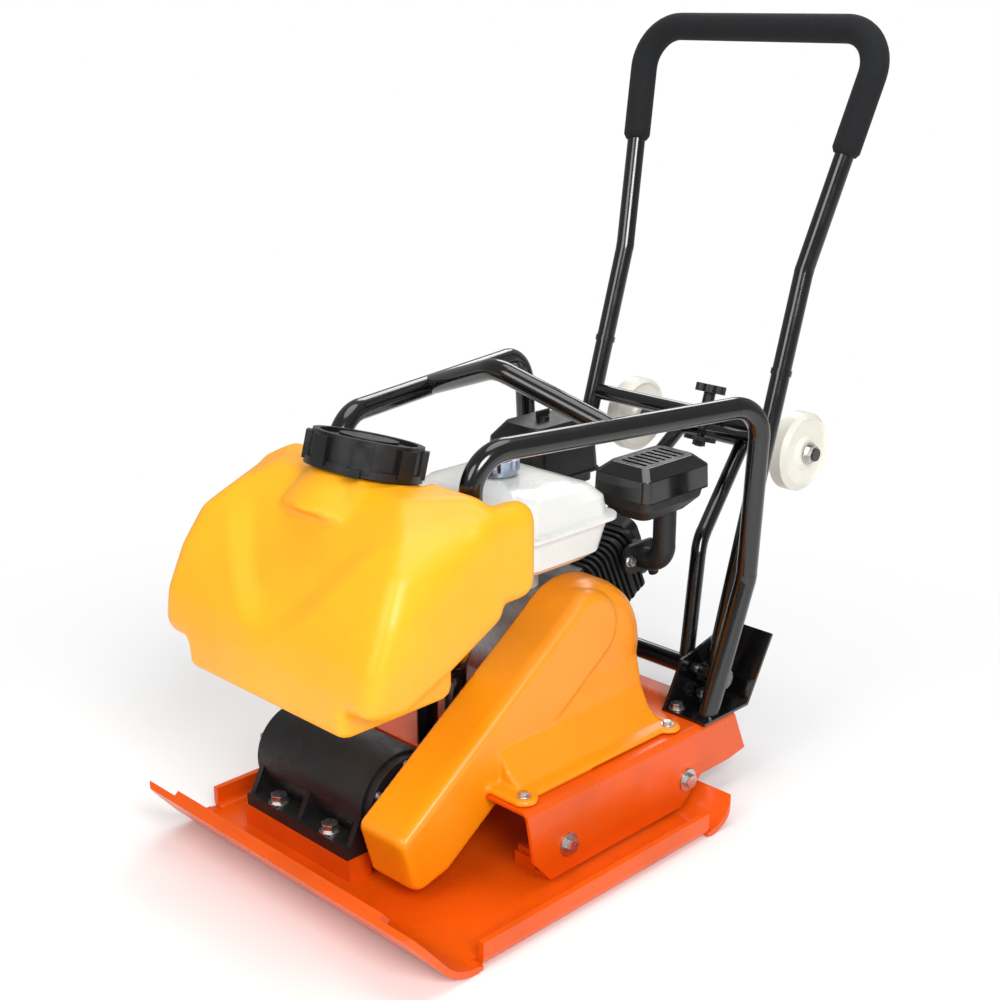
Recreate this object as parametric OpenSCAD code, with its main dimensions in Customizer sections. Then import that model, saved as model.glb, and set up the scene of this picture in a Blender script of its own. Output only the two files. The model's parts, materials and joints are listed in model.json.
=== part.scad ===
// Walk-behind plate compactor: base plate with exciter, sprung engine deck, petrol engine, water tank,
// guard frame, folding handle and swing-down transport wheels. Millimetres. +X is forward, +Y is the
// belt side, +Z is up, and the origin lies on the ground under the middle of the base plate.

/* [Base plate] */
// Length of the base plate over its turned-up ends
plate_len = 560; // [530:1:600]
// Width of the base plate
plate_wid = 500; // [480:1:540]
// Thickness of the plate steel
plate_t = 8; // [6:0.5:10]
// Height of the front lip above the ground
front_lip_h = 82; // [70:1:95]
// Height of the rear lip above the ground
rear_lip_h = 38; // [32:1:44]
// Height of the side lips above the ground
side_lip_h = 34; // [26:1:42]
// Bend radius under the front lip
front_bend_r = 70; // [60:1:80]
// Bend radius under the rear lip
rear_bend_r = 50; // [44:1:56]
// Height of the rails that carry the exciter
rail_h = 28; // [20:1:34]

/* [Exciter] */
// Distance of the exciter shaft ahead of the plate's middle
exc_x = 90; // [80:1:96]
// Height of the exciter shaft above its rails
exc_rise = 50; // [48:1:56]
// Outer radius of the exciter housing
exc_r = 62; // [58:1:64]
// Length of the exciter housing
exc_len = 196; // [180:1:204]
// Sideways place of the housing's belt-side end
exc_y1 = 18; // [12:1:22]
// Bore radius of the exciter housing
exc_bore_r = 46; // [42:0.5:48]
// Outer radius of the exciter pulley
exc_pulley_r = 36; // [34:0.5:37]
// Width of the exciter's foot along the machine
exc_foot_len = 170; // [160:1:178]

/* [Engine deck] */
// Height of the top of the engine deck
deck_z = 116; // [112:1:122]
// Width of the engine deck over its side flanges
deck_wid = 384; // [370:1:392]
// Thickness of the deck sheet
deck_t = 5; // [4:0.5:6]
// Distance of the deck's front corners ahead of the middle
deck_front = 49; // [44:1:56]
// Distance of the deck's rear edge behind the middle
deck_rear = 343; // [338:1:350]
// Distance of the front rubber mounts behind the middle
mount_front = 22; // [16:1:28]
// Distance of the rear rubber mounts behind the middle
mount_rear = 248; // [244:1:252]
// Height of the rubber mounts
mount_z = 50; // [46:1:54]
// Radius of the rubber mounts
mount_r = 22; // [18:1:24]

/* [Engine] */
// Distance of the crankshaft behind the plate's middle
crank_back = 160; // [156:1:164]
// Height of the crankshaft above the deck
crank_rise = 106; // [102:1:110]
// Tilt of the cylinder above the horizontal
cyl_tilt = 25; // [22:1:28]
// Radius of the crankshaft
crank_r = 12.5; // [11:0.5:14]
// Outer radius of the clutch pulley
clutch_r = 56; // [52:0.5:58]
// Sideways place of the belt's middle
belt_y = 73; // [72:0.5:76]
// Width of the belt
belt_w = 13; // [11:0.5:14]
// Length of the fuel tank along the machine
fuel_len = 164; // [150:1:170]
// Width of the fuel tank across the machine
fuel_wid = 222; // [200:1:226]

/* [Guard frame] */
// Outer radius of the frame tube
frame_r = 13.5; // [12:0.5:14]
// Wall of all bent tubes
tube_wall = 2.5; // [2:0.25:3]
// Height of the top bars above the ground
frame_z = 533; // [528:1:540]
// Rise of the lifting bar above the top bars
lift_rise = 54; // [46:1:60]

/* [Water tank] */
// Half the width of the water tank
tank_half = 195; // [185:1:200]
// Height of the top of the water tank
tank_top = 508; // [500:1:514]
// Wall of the water tank
tank_wall = 4; // [3:0.5:5]
// Radius of the water cap
cap_r = 64; // [60:1:68]
// Backward lean of the filler neck
cap_lean = 16; // [12:1:18]

/* [Handle and wheels] */
// Distance of the handle pivot behind the middle
pivot_back = 348; // [346:1:350]
// Height of the handle pivot above the deck
pivot_rise = 37; // [36:1:39]
// Backward lean of the handle at rest
handle_lean = 16.8; // [16:0.1:17.6]
// Length of the handle from the pivot to the top bar
handle_len = 855; // [800:1:900]
// Distance of the side bends from the pivot
handle_bend = 543; // [520:1:560]
// Half the width of the handle at the pivot
handle_half = 152; // [151:0.5:153]
// Half the width of the handle at the top
handle_top_half = 195; // [180:1:210]
// Outer radius of the handle tube
handle_r = 12.5; // [11:0.5:13]
// Outer radius of the foam grip
grip_r = 18.5; // [17:0.5:20]
// Distance from the handle's bend to the foam grip
grip_gap = 153; // [130:1:170]
// Distance of the handle's cross bar from the pivot
cross_at = 333; // [328:1:338]
// Radius of the transport wheels
wheel_r = 54; // [50:1:56]
// Width of the transport wheels
wheel_w = 34; // [30:1:36]
// Sideways place of the middle of each wheel
wheel_y = 143; // [142:1:146]
// Radius of the handle's pivot pin
pin_r = 8; // [7:0.5:9]

/* [Hidden] */
$fn = 48;
fit = 0.05;
gap = 0.3;

orange = [0.95, 0.28, 0.03];
amber = [1.0, 0.62, 0.05];
tank_yellow = [1.0, 0.75, 0.12];
black = [0.06, 0.06, 0.07];
cast_black = [0.1, 0.1, 0.11];
zinc = [0.72, 0.74, 0.76];
alloy = [0.62, 0.64, 0.66];
white = [0.93, 0.93, 0.9];
rubber = [0.05, 0.05, 0.05];

// Helpers

function unit(v) = v / norm(v);
function turn_at(path, i) = acos(unit(path[i] - path[i - 1]) * unit(path[i + 1] - path[i]));
function setback(path, r, i) =
  i == 0 || i == len(path) - 1 ? 0 : r * tan(turn_at(path, i) / 2);

// A ring section, or a disc when the wall is as thick as the radius
module ring_2d(r, wall) {
  difference() {
    circle(r);
    if (wall < r) circle(r - wall);
  }
}

// Places its child with Z along the direction u at the point p
module aim(p, u) {
  side = unit(cross(abs(u.z) > 0.9 ? [1, 0, 0] : [0, 0, 1], u));
  up = cross(u, side);
  multmatrix([[side.x, up.x, u.x, p.x], [side.y, up.y, u.y, p.y], [side.z, up.z, u.z, p.z],
              [0, 0, 0, 1]]) children();
}

// A solid bar bent along a path. The elbows are a touch fatter and the straights run into them, so
// that no two faces lie in one another.
swell = 0.2;
lap = 2;
module bent_bar(path, bend_r, r, start, end) {
  last = len(path) - 1;
  for (i = [0:last - 1]) {
    u = unit(path[i + 1] - path[i]);
    from = i == 0 ? start : setback(path, bend_r, i) - lap;
    to = norm(path[i + 1] - path[i])
       - (i == last - 1 ? end : setback(path, bend_r, i + 1) - lap);
    aim(path[i] + u * from, u) cylinder(r = r, h = to - from);
  }
  for (i = [1:1:last - 1]) {
    u = unit(path[i] - path[i - 1]);
    v = unit(path[i + 1] - path[i]);
    inward = unit(v - (v * u) * u);
    normal = cross(-inward, u);
    mid = path[i] - u * setback(path, bend_r, i) + inward * bend_r;
    multmatrix([[-inward.x, u.x, normal.x, mid.x], [-inward.y, u.y, normal.y, mid.y],
                [-inward.z, u.z, normal.z, mid.z], [0, 0, 0, 1]])
      rotate_extrude(angle = turn_at(path, i), $fn = 64) translate([bend_r, 0]) circle(r + swell);
  }
}

// A tube bent along a path, closed at its ends
module bent_tube(path, bend_r, r, wall) {
  difference() {
    bent_bar(path, bend_r, r, 0, 0);
    bent_bar(path, bend_r, r - wall, wall, wall);
  }
}

// A straight tube or bar between two points
module bar(a, b, r, wall = 1000) {
  aim(a, unit(b - a)) linear_extrude(norm(b - a)) ring_2d(r, wall);
}

// Lays a drawing made in X and Z across the machine, from y0 to y1
module across(y0, y1) {
  translate([0, y1, 0]) rotate([90, 0, 0]) linear_extrude(y1 - y0) children();
}

// Lays a drawing made in Y and Z along the machine, from x0 to x1
module along(x0, x1) {
  translate([x0, 0, 0]) rotate([90, 0, 90]) linear_extrude(x1 - x0) children();
}

// A round bar across the machine
module cross_bar(x, z, r, y0, y1) {
  across(y0, y1) translate([x, z]) circle(r);
}

// A rectangle with round corners, centred
module soft_rect(l, w, r) {
  square([l - 2 * r, w], center = true);
  square([l, w - 2 * r], center = true);
  for (sx = [-1, 1], sy = [-1, 1])
    translate([sx * (l / 2 - r), sy * (w / 2 - r)]) circle(r);
}

// A hexagon bolt head on a washer, with its shank, pointing up from the origin
module hex_bolt(head_r, head_h, washer_r, washer_t, shank_r, shank_l) {
  cylinder(r = washer_r, h = washer_t);
  translate([0, 0, washer_t]) cylinder(r = head_r, h = head_h, $fn = 6);
  translate([0, 0, -shank_l]) cylinder(r = shank_r, h = shank_l);
}

// Turns a shape that stands up so that it points to +Y or -Y
module facing(side) {
  rotate([-90 * side, 0, 0]) children();
}

// Base plate

front_lip_angle = 50;
rear_lip_angle = 45;
function lip_reach(r, a, h) = (h - plate_t * cos(a) - r * (1 - cos(a))) / sin(a);
front_reach = lip_reach(front_bend_r, front_lip_angle, front_lip_h);
rear_reach = lip_reach(rear_bend_r, rear_lip_angle, rear_lip_h);
floor_front = plate_len / 2 - front_bend_r * sin(front_lip_angle) - front_reach * cos(front_lip_angle);
floor_rear = -plate_len / 2 + rear_bend_r * sin(rear_lip_angle) + rear_reach * cos(rear_lip_angle);
side_bend_r = 16;
corner_r = 22;
lip_bar_half = 190;
lip_bar_w = 16;
lip_bar_t = 7;

// The section of a sheet that bends up by an angle and runs on straight
module lip_section(r, a, reach) {
  far = 2 * r;
  intersection() {
    translate([0, r]) ring_2d(r, plate_t);
    polygon([[0, r], [0, -far], [far * tan(a / 2), -far], [far * sin(a), r - far * cos(a)]]);
  }
  translate([r * sin(a), r * (1 - cos(a))]) rotate(a) {
    square([reach, plate_t]);
    translate([-6, 1.5]) square([12, plate_t - 3]);
  }
  translate([-6, 1.5]) square([12, plate_t - 3]);
}

module side_lip() {
  run_front = floor_front - 6;
  run_rear = floor_rear + 6;
  along(run_rear, run_front) translate([plate_wid / 2 - side_bend_r, side_bend_r]) {
    intersection() {
      ring_2d(side_bend_r, plate_t);
      translate([0, -side_bend_r]) square(side_bend_r);
    }
    translate([side_bend_r - plate_t, -1]) square([plate_t, side_lip_h - side_bend_r + 1]);
    translate([-6, -side_bend_r]) square([7, plate_t]);
  }
}

exc_y0 = exc_y1 - exc_len;
exc_base = plate_t + rail_h;
exc_z = exc_base + exc_rise;
rail_w = 34;
bracket_t = 8;
bracket_y = deck_wid / 2 - deck_t - 27;
bracket_half = 24;
bracket_top = mount_z + 26;

// An upright plate that carries one rubber mount; the heel follows the rear lip where it must
module mount_bracket(x, heel) {
  sunk = plate_t / 2;
  difference() {
    union() {
      across(bracket_y - bracket_t, bracket_y) polygon([[x + bracket_half, sunk],
        [x + bracket_half, mount_z], [x + 15, bracket_top], [x - 15, bracket_top],
        [x - bracket_half, mount_z], [x - bracket_half, sunk + heel], [x, sunk]]);
      for (s = [0, 1]) across(bracket_y - bracket_t - 26, bracket_y - bracket_t)
        translate([x + 12 + s * (bracket_half - 18), sunk]) square([6, 26 - s * 6]);
      translate([x, bracket_y, sunk]) cube([bracket_half, 20, plate_t]);
    }
    cross_bar(x, mount_z, mount_stud_r + fit, bracket_y - bracket_t - 1, bracket_y + 1);
  }
}

module base_plate() {
  color(orange) {
    intersection() {
      linear_extrude(front_lip_h + 1) soft_rect(plate_len, plate_wid, corner_r);
      union() {
        translate([floor_rear, side_bend_r - plate_wid / 2, 0])
          cube([floor_front - floor_rear, plate_wid - 2 * side_bend_r, plate_t]);
        across(-plate_wid / 2, plate_wid / 2) translate([floor_front, 0])
          lip_section(front_bend_r, front_lip_angle, front_reach);
        across(-plate_wid / 2, plate_wid / 2) translate([floor_rear, 0]) mirror([1, 0])
          lip_section(rear_bend_r, rear_lip_angle, rear_reach);
      }
    }
    side_lip();
    mirror([0, 1, 0]) side_lip();
    across(-lip_bar_half, lip_bar_half)
      translate([floor_front + front_bend_r * sin(front_lip_angle),
                 front_bend_r * (1 - cos(front_lip_angle))])
        rotate(front_lip_angle) translate([front_reach - lip_bar_w - 1, plate_t - 1])
          square([lip_bar_w, lip_bar_t + 1]);
    for (s = [-1, 1]) difference() {
      translate([exc_x + s * (exc_foot_len - rail_w) / 2 - rail_w / 2, exc_y0 - 4, plate_t / 2])
        cube([rail_w, exc_len + 8, rail_h + plate_t / 2]);
      for (y = exc_bolt_ys) translate([exc_x + s * exc_bolt_off, y, plate_t + 4])
        cylinder(r = exc_bolt_r + fit, h = rail_h + plate_t);
    }
    for (m = [0, 1]) mirror([0, m, 0]) {
      mount_bracket(-mount_front, 0);
      mount_bracket(-mount_rear, rear_lip_h - plate_t / 2);
    }
  }
}

// Exciter

exc_foot_h = 16;
exc_bolt_r = 8;
exc_bolt_off = exc_foot_len / 2 - 14;
exc_bolt_ys = [exc_y0 + 48, exc_y1 - 48];
exc_cap_r = exc_r - 4;
exc_cap_t = 12;
exc_spigot = 8;
exc_cap_bolt_pcr = exc_cap_r - 6.5;
journal_r = 17.5;
stub_r = 14;
bearing_w = 25;
rib_t = 8;

module exciter_housing() {
  foot_top = exc_base + exc_foot_h;
  color(cast_black) difference() {
    union() {
      cross_bar(exc_x, exc_z, exc_r, exc_y0, exc_y1);
      translate([exc_x - exc_r + 12, exc_y0, exc_base]) cube([2 * exc_r - 24, exc_len, exc_rise]);
      translate([exc_x - exc_foot_len / 2, exc_y0, exc_base])
        cube([exc_foot_len, exc_len, exc_foot_h]);
      for (s = [0, 1], y = [exc_y0, (exc_y0 + exc_y1 - rib_t) / 2, exc_y1 - rib_t])
        translate([exc_x, 0, 0]) mirror([s, 0, 0]) across(y, y + rib_t)
          polygon([[exc_r - 14, foot_top - 1], [exc_foot_len / 2 - 5, foot_top - 1],
                   [exc_r - 9, exc_z + 16], [exc_r - 20, exc_z + 16]]);
    }
    cross_bar(exc_x, exc_z, exc_bore_r, exc_y0 - 1, exc_y1 + 1);
    for (s = [-1, 1], y = exc_bolt_ys)
      translate([exc_x + s * exc_bolt_off, y, exc_base - 1])
        cylinder(r = exc_bolt_r + 0.5, h = exc_foot_h + 2);
    for (y = [exc_y0, exc_y1]) exciter_cap_pattern(y, 3 + fit, 14);
  }
}

// The ring of small bolts round an end of the housing, as bars that cross the joint
module exciter_cap_pattern(y, r, reach) {
  for (k = [0:5])
    cross_bar(exc_x + exc_cap_bolt_pcr * cos(60 * k + 30), exc_z + exc_cap_bolt_pcr * sin(60 * k + 30),
              r, y - reach, y + reach);
}

module exciter_cap(y, side, hole_r) {
  color(cast_black) difference() {
    union() {
      translate([exc_x, y, exc_z]) facing(side) cylinder(r = exc_cap_r, h = exc_cap_t);
      translate([exc_x, y, exc_z]) facing(side) cylinder(r = 26, h = exc_cap_t + 5);
      translate([exc_x, y, exc_z]) facing(-side) cylinder(r = exc_bore_r - fit, h = exc_spigot);
    }
    if (hole_r > 0) cross_bar(exc_x, exc_z, hole_r, y - 40, y + 40);
    exciter_cap_pattern(y, 3 + fit, 30);
  }
}

module exciter_cap_left() { exciter_cap(exc_y1, 1, stub_r + 1); }
module exciter_cap_right() { exciter_cap(exc_y0, -1, 0); }

module exciter_cap_bolts() {
  color(zinc) for (end = [[exc_y1, 1], [exc_y0, -1]], k = [0:5])
    translate([exc_x + exc_cap_bolt_pcr * cos(60 * k + 30), end[0] + end[1] * exc_cap_t,
               exc_z + exc_cap_bolt_pcr * sin(60 * k + 30)])
      facing(end[1]) hex_bolt(4.6, 4, 5.4, 1.2, 3, exc_cap_t + 12);
}

module exciter_bolts() {
  color(zinc) for (s = [-1, 1], y = exc_bolt_ys)
    translate([exc_x + s * exc_bolt_off, y, exc_base + exc_foot_h])
      hex_bolt(11, 9, 13.5, 2.5, exc_bolt_r, exc_foot_h + rail_h - 8);
}

module exciter_bearings() {
  color(zinc) for (y = [exc_y0 + exc_spigot, exc_y1 - exc_spigot - bearing_w])
    difference() {
      cross_bar(exc_x, exc_z, exc_bore_r - fit, y, y + bearing_w);
      cross_bar(exc_x, exc_z, journal_r + fit, y - 1, y + bearing_w + 1);
    }
}

module eccentric_shaft() {
  weight_half = exc_len / 2 - exc_spigot - bearing_w - 3;
  mid = (exc_y0 + exc_y1) / 2;
  color(alloy) {
    cross_bar(exc_x, exc_z, journal_r, exc_y0 + exc_spigot + 1, exc_y1 - exc_spigot - 1);
    cross_bar(exc_x, exc_z, stub_r, exc_y1 - exc_spigot - 1, belt_y + belt_w / 2 + 8);
    intersection() {
      cross_bar(exc_x, exc_z, exc_bore_r - 4, mid - weight_half, mid + weight_half);
      translate([exc_x - exc_bore_r, mid - weight_half, exc_z - exc_bore_r])
        cube([2 * exc_bore_r, 2 * weight_half, exc_bore_r]);
    }
  }
}

// A V-groove pulley about the origin, with its axis up: rim radius, bore radius and half its width
belt_depth = 9;
function pulley_root(r) = r - belt_depth - 1;
module v_pulley(r, bore, half) {
  root = pulley_root(r);
  rotate_extrude($fn = 72) polygon([[bore, -half], [r, -half], [r, -belt_w / 2 - 1],
    [root, -belt_w / 2 + 1.5], [root, belt_w / 2 - 1.5], [r, belt_w / 2 + 1], [r, half],
    [bore, half]]);
}

module exciter_pulley() {
  color(alloy) translate([exc_x, belt_y, exc_z]) facing(1)
    v_pulley(exc_pulley_r, stub_r + fit, belt_w / 2 + 4);
}

// Engine drive

crank_x = -crank_back;
crank_z = deck_z + crank_rise;
case_y0 = -70;
case_y1 = 34;
case_cover_t = 8;
clutch_half = 24;

module clutch_pulley() {
  drum_r = clutch_r - 6;
  color(alloy) translate([crank_x, belt_y, crank_z]) facing(1) {
    v_pulley(clutch_r, crank_r + fit, belt_w / 2 + 4);
    difference() {
      translate([0, 0, belt_w / 2 + 4]) cylinder(r = drum_r, h = clutch_half - belt_w / 2);
      translate([0, 0, belt_w / 2 + 8]) cylinder(r = drum_r - 6, h = clutch_half);
      cylinder(r = crank_r + fit, h = 2 * clutch_half);
    }
    translate([0, 0, belt_w / 2 + 8]) difference() {
      cylinder(r = drum_r - 14, h = clutch_half - belt_w / 2 - 6);
      translate([0, 0, -1]) cylinder(r = crank_r + fit, h = clutch_half);
      for (a = [0:120:240]) rotate(a) translate([crank_r + 8, -1.5, -1])
        cube([drum_r, 3, clutch_half]);
    }
    translate([0, 0, -clutch_half - 1]) difference() {
      cylinder(r = crank_r + 8, h = clutch_half - belt_w / 2 - 3);
      translate([0, 0, -1]) cylinder(r = crank_r + fit, h = clutch_half);
    }
  }
}

// The belt: two wrapped arcs, and two straight runs that are a touch thinner and run into the arcs
belt_from = [crank_x, crank_z];
belt_to = [exc_x, exc_z];
belt_lean = atan2(belt_to.y - belt_from.y, belt_to.x - belt_from.x);
belt_span = norm(belt_to - belt_from);
belt_open = acos((clutch_r - exc_pulley_r) / belt_span);

module belt_arc(at, r, from, to) {
  far = 3 * r;
  mid = (from + to) / 2;
  translate(at) intersection() {
    ring_2d(r - 1, belt_depth - gap);
    polygon([[0, 0], for (k = [0:4]) let (a = from + (to - from) * k / 4) far * [cos(a), sin(a)]]);
  }
}

module v_belt() {
  run = sqrt(pow(belt_span, 2) - pow(clutch_r - exc_pulley_r, 2));
  color(rubber) across(belt_y - belt_w / 2 + 2, belt_y + belt_w / 2 - 2) {
    belt_arc(belt_from, clutch_r, belt_lean + belt_open, belt_lean + 360 - belt_open);
    belt_arc(belt_to, exc_pulley_r, belt_lean - belt_open, belt_lean + belt_open);
    for (s = [-1, 1])
      translate(belt_from + (clutch_r - 1) * [cos(belt_lean + s * belt_open), sin(belt_lean + s * belt_open)])
        rotate(belt_lean + s * (belt_open - 90)) translate([-lap, s > 0 ? -belt_depth + 0.7 : 0.4])
          square([run + 2 * lap, belt_depth - 1.1]);
  }
}

module crankshaft() {
  color(alloy) {
    cross_bar(crank_x, crank_z, crank_r, fan_y0 + 6, belt_y + clutch_half + 5);
    cross_bar(crank_x, crank_z, crank_r + 4, belt_y + clutch_half + 4 + gap, belt_y + clutch_half + 9);
  }
}

// Deck

deck_nose = exc_x - exc_r - 6;
flange_low = 14;
slot_y0 = 42;
slot_y1 = 126;
slot_rear = -84;
mount_stud_r = 6;

// The side outline of the deck, with the stepped rear end
module deck_side_outline() {
  x1 = deck_front;
  x0 = -deck_rear;
  polygon([[x1, deck_z + 1], [x1 - 13, flange_low + 32], [x1 - 41, flange_low],
    [-plate_len / 2 + 42, flange_low], [-plate_len / 2 + 2, rear_lip_h + 9], [x0 + 5, rear_lip_h + 9],
    [x0 - 14, rear_lip_h + 12], [x0 - 29, rear_lip_h + 14], [x0, deck_z + 1]]);
}

module deck_section(half, r) {
  translate([-half, -10]) square([2 * half, deck_z - r + 10]);
  translate([-half + r, 0]) square([2 * half - 2 * r, deck_z]);
  for (s = [-1, 1]) translate([s * (half - r), deck_z - r]) circle(r);
}

module console_deck() {
  bend = 9;
  color(orange) difference() {
    union() {
      intersection() {
        along(-deck_rear - 40, deck_front) difference() {
          deck_section(deck_wid / 2, bend);
          translate([0, -deck_t]) deck_section(deck_wid / 2 - deck_t, bend - deck_t);
        }
        across(-deck_wid, deck_wid) deck_side_outline();
      }
    }
    translate([deck_nose, -deck_wid, 0]) cube([200, deck_wid + slot_y0, deck_z + 10]);
    translate([slot_rear, slot_y0, deck_z - deck_t - 1])
      cube([deck_front - slot_rear + 40, slot_y1 - slot_y0, deck_t + 2]);
    for (x = [-mount_front, -mount_rear])
      cross_bar(x, mount_z, mount_stud_r + 0.5, -deck_wid, deck_wid);
    for (p = engine_bolt_at) translate([p.x, p.y, deck_z - deck_t - 1])
      cylinder(r = engine_bolt_r + 0.3, h = deck_t + 2);
    for (s = [-1, 1], x = bracket_bolt_xs)
      translate([x, s * bracket_bolt_y, deck_z - deck_t - 1])
        cylinder(r = bracket_bolt_r + 0.3, h = deck_t + 2);
  }
}

module rubber_mounts() {
  color(rubber) for (m = [0, 1], x = [-mount_front, -mount_rear]) mirror([0, m, 0])
    difference() {
      cross_bar(x, mount_z, mount_r, bracket_y, deck_wid / 2 - deck_t);
      cross_bar(x, mount_z, mount_stud_r + fit, bracket_y - 1, bracket_y + 10);
      cross_bar(x, mount_z, mount_stud_r + fit, deck_wid / 2 - deck_t - 10, deck_wid / 2);
    }
}

module mount_bolts() {
  color(zinc) for (m = [0, 1], x = [-mount_front, -mount_rear]) mirror([0, m, 0])
    translate([x, deck_wid / 2, mount_z]) facing(1)
      hex_bolt(9.5, 7, 15, 2.5, mount_stud_r, deck_t + 10);
}

module mount_nuts() {
  color(zinc) for (m = [0, 1], x = [-mount_front, -mount_rear]) mirror([0, m, 0])
    translate([x, bracket_y - bracket_t, mount_z]) facing(-1)
      hex_bolt(9.5, 8, 12, 2, mount_stud_r, bracket_t + 10);
}

// Belt cover

cover_y0 = 46;
cover_y1 = 122;
cover_wall = 3;
cover_up_r = 97;
cover_foot_t = 7;
cover_foot_front = 45;
cover_foot_rear = -252;
cover_tab_xs = [28, -236];
cover_tab_y = 158;

// The cover's side outline: round over the clutch, blunt at the nose; inset draws it smaller
module cover_outline(inset, depth) {
  translate([crank_x, crank_z]) circle(cover_up_r - inset - depth * 0.29);
  nose = [[exc_x + 76, exc_z + 10], [exc_x + 60, exc_z - 46], [exc_x + 22, exc_z - 38]];
  for (p = nose) translate(p) circle(12 - inset - depth * 0.05);
}

module cover_body(inset) {
  hull() {
    across(cover_y0 - (inset > 0 ? 1 : 0), cover_y0 + 26) cover_outline(inset, 0, $fn = 40);
    across(cover_y0 + 40, cover_y1 - inset - 12) cover_outline(inset, 26, $fn = 40);
    across(cover_y1 - inset - 1, cover_y1 - inset) cover_outline(inset, 78, $fn = 40);
  }
}

// The concave skirt that flares out to the foot
module cover_skirt() {
  y = cover_y1;
  foot = deck_z + gap;
  polygon([[cover_y0, foot], [y + 50, foot], [y + 50, foot + cover_foot_t],
    [y + 30, foot + cover_foot_t + 2], [y + 14, foot + 24], [y + 4, foot + 52],
    [y - 2, foot + 88], [cover_y0, foot + 88]]);
}

module belt_cover() {
  foot = deck_z + gap;
  color(amber) difference() {
    union() {
      difference() {
        cover_body(0);
        translate([-500, cover_y0 - 10, -10]) cube([500 + slot_rear + gap, 200, foot + 10]);
      }
      along(cover_foot_rear + 14, cover_foot_front - 22) cover_skirt();
      translate([cover_foot_rear, cover_y0, foot])
        cube([cover_foot_front - cover_foot_rear, cover_y1 + 50 - cover_y0, cover_foot_t]);
      for (x = cover_tab_xs) translate([x, cover_tab_y + 8, foot]) {
        cylinder(r = 17, h = cover_foot_t);
      }
    }
    difference() {
      cover_body(cover_wall);
      translate([-500, cover_y0 - 10, -10]) cube([500 + slot_rear + gap, 200, foot + 6]);
    }
    for (x = cover_tab_xs) translate([x, cover_tab_y + 8, foot - 1]) {
      cylinder(r = 4.5, h = cover_foot_t + 2);
      translate([0, 0, cover_foot_t + 1]) cylinder(r = 10.5, h = 30);
    }
  }
}

module cover_screws() {
  color(zinc) for (x = cover_tab_xs)
    translate([x, cover_tab_y + 8, deck_z + gap + cover_foot_t])
      hex_bolt(6, 4, 9, 1.5, 4, cover_foot_t);
}

// Engine block. The cylinder's own frame has its Z along the cylinder, from the crankshaft.

module cyl_frame() {
  translate([crank_x, 0, crank_z]) rotate([0, cyl_tilt - 90, 0]) children();
}

cyl_half = 48;
fin_half_y = 44;
cyl_from = 92;
head_from = 150;
cover_from = 186;
engine_bolt_r = 5;
engine_bolt_at = [for (x = [crank_x - 83, crank_x + 83], y = [case_y0 + 12, case_y1 - 12]) [x, y]];

module crankcase() {
  color(alloy) difference() {
    union() {
      across(case_y0, case_y1) {
        translate([crank_x, crank_z]) circle(80);
        translate([crank_x - 70, deck_z + 6]) square([140, crank_rise + 30]);
      }
      translate([crank_x - 96, case_y0, deck_z]) cube([192, case_y1 - case_y0, 12]);
      cyl_frame() translate([-cyl_half, -cyl_half, 30]) cube([2 * cyl_half, 2 * cyl_half - 20, cyl_from - 30]);
    }
    cross_bar(crank_x, crank_z, crank_r + fit, case_y0 - 60, case_y1 + 60);
    for (p = engine_bolt_at) translate([p.x, p.y, deck_z - 1])
      cylinder(r = engine_bolt_r + 0.2, h = 14);
    for (p = crankcase_bolt_at)
      cross_bar(p.x, p.y, 3 + fit, case_y1 - 12, case_y1 + 1);
    for (x = oil_plug_xs) translate([x, 0, deck_z + 26]) rotate([0, x > crank_x ? 90 : -90, 0])
      translate([0, (case_y0 + case_y1) / 2, -14]) cylinder(r = 9 + fit, h = 60);
  }
}

crankcase_bolt_at = [for (a = [30:60:330]) [crank_x + 70 * cos(a), crank_z + 70 * sin(a)]];

module crankcase_cover() {
  color(alloy) difference() {
    union() {
      translate([crank_x, case_y1, crank_z]) facing(1) cylinder(r = 78, h = case_cover_t - 3);
      translate([crank_x, case_y1, crank_z]) facing(1) cylinder(r = 30, h = case_cover_t);
    }
    cross_bar(crank_x, crank_z, crank_r + fit, case_y1 - 1, case_y1 + 20);
    for (p = crankcase_bolt_at) cross_bar(p.x, p.y, 3 + fit, case_y1 - 1, case_y1 + 20);
  }
}

module crankcase_bolts() {
  color(zinc) for (p = crankcase_bolt_at)
    translate([p.x, case_y1 + case_cover_t - 3, p.y]) facing(1) hex_bolt(4.6, 3.5, 5.5, 1, 3, 16);
}

module engine_bolts() {
  color(zinc) for (p = engine_bolt_at)
    translate([p.x, p.y, deck_z + 12]) hex_bolt(8, 6, 11, 2, engine_bolt_r, 12 + deck_t);
}

oil_plug_xs = [crank_x - 70, crank_x + 70];

module oil_plugs() {
  color(cast_black) for (x = oil_plug_xs)
    translate([x, (case_y0 + case_y1) / 2, deck_z + 26]) rotate([0, x > crank_x ? 90 : -90, 0]) {
      translate([0, 0, -12]) cylinder(r = 9, h = 12);
      cylinder(r = 13, h = 6);
      translate([-2, -11, 6]) cube([4, 22, 6]);
    }
}

// Square cooling fins stacked along the cylinder
module fin_stack(half, from, to, pitch, fin_t) {
  for (z = [from:pitch:to - fin_t]) translate([0, 0, z]) linear_extrude(fin_t)
    soft_rect(2 * half, 2 * fin_half_y, 14);
}

module engine_cylinder() {
  color(cast_black) cyl_frame() {
    translate([0, 0, cyl_from]) linear_extrude(head_from - cyl_from) circle(36);
    fin_stack(cyl_half + 4, cyl_from, head_from, 9, 4);
  }
}

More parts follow.
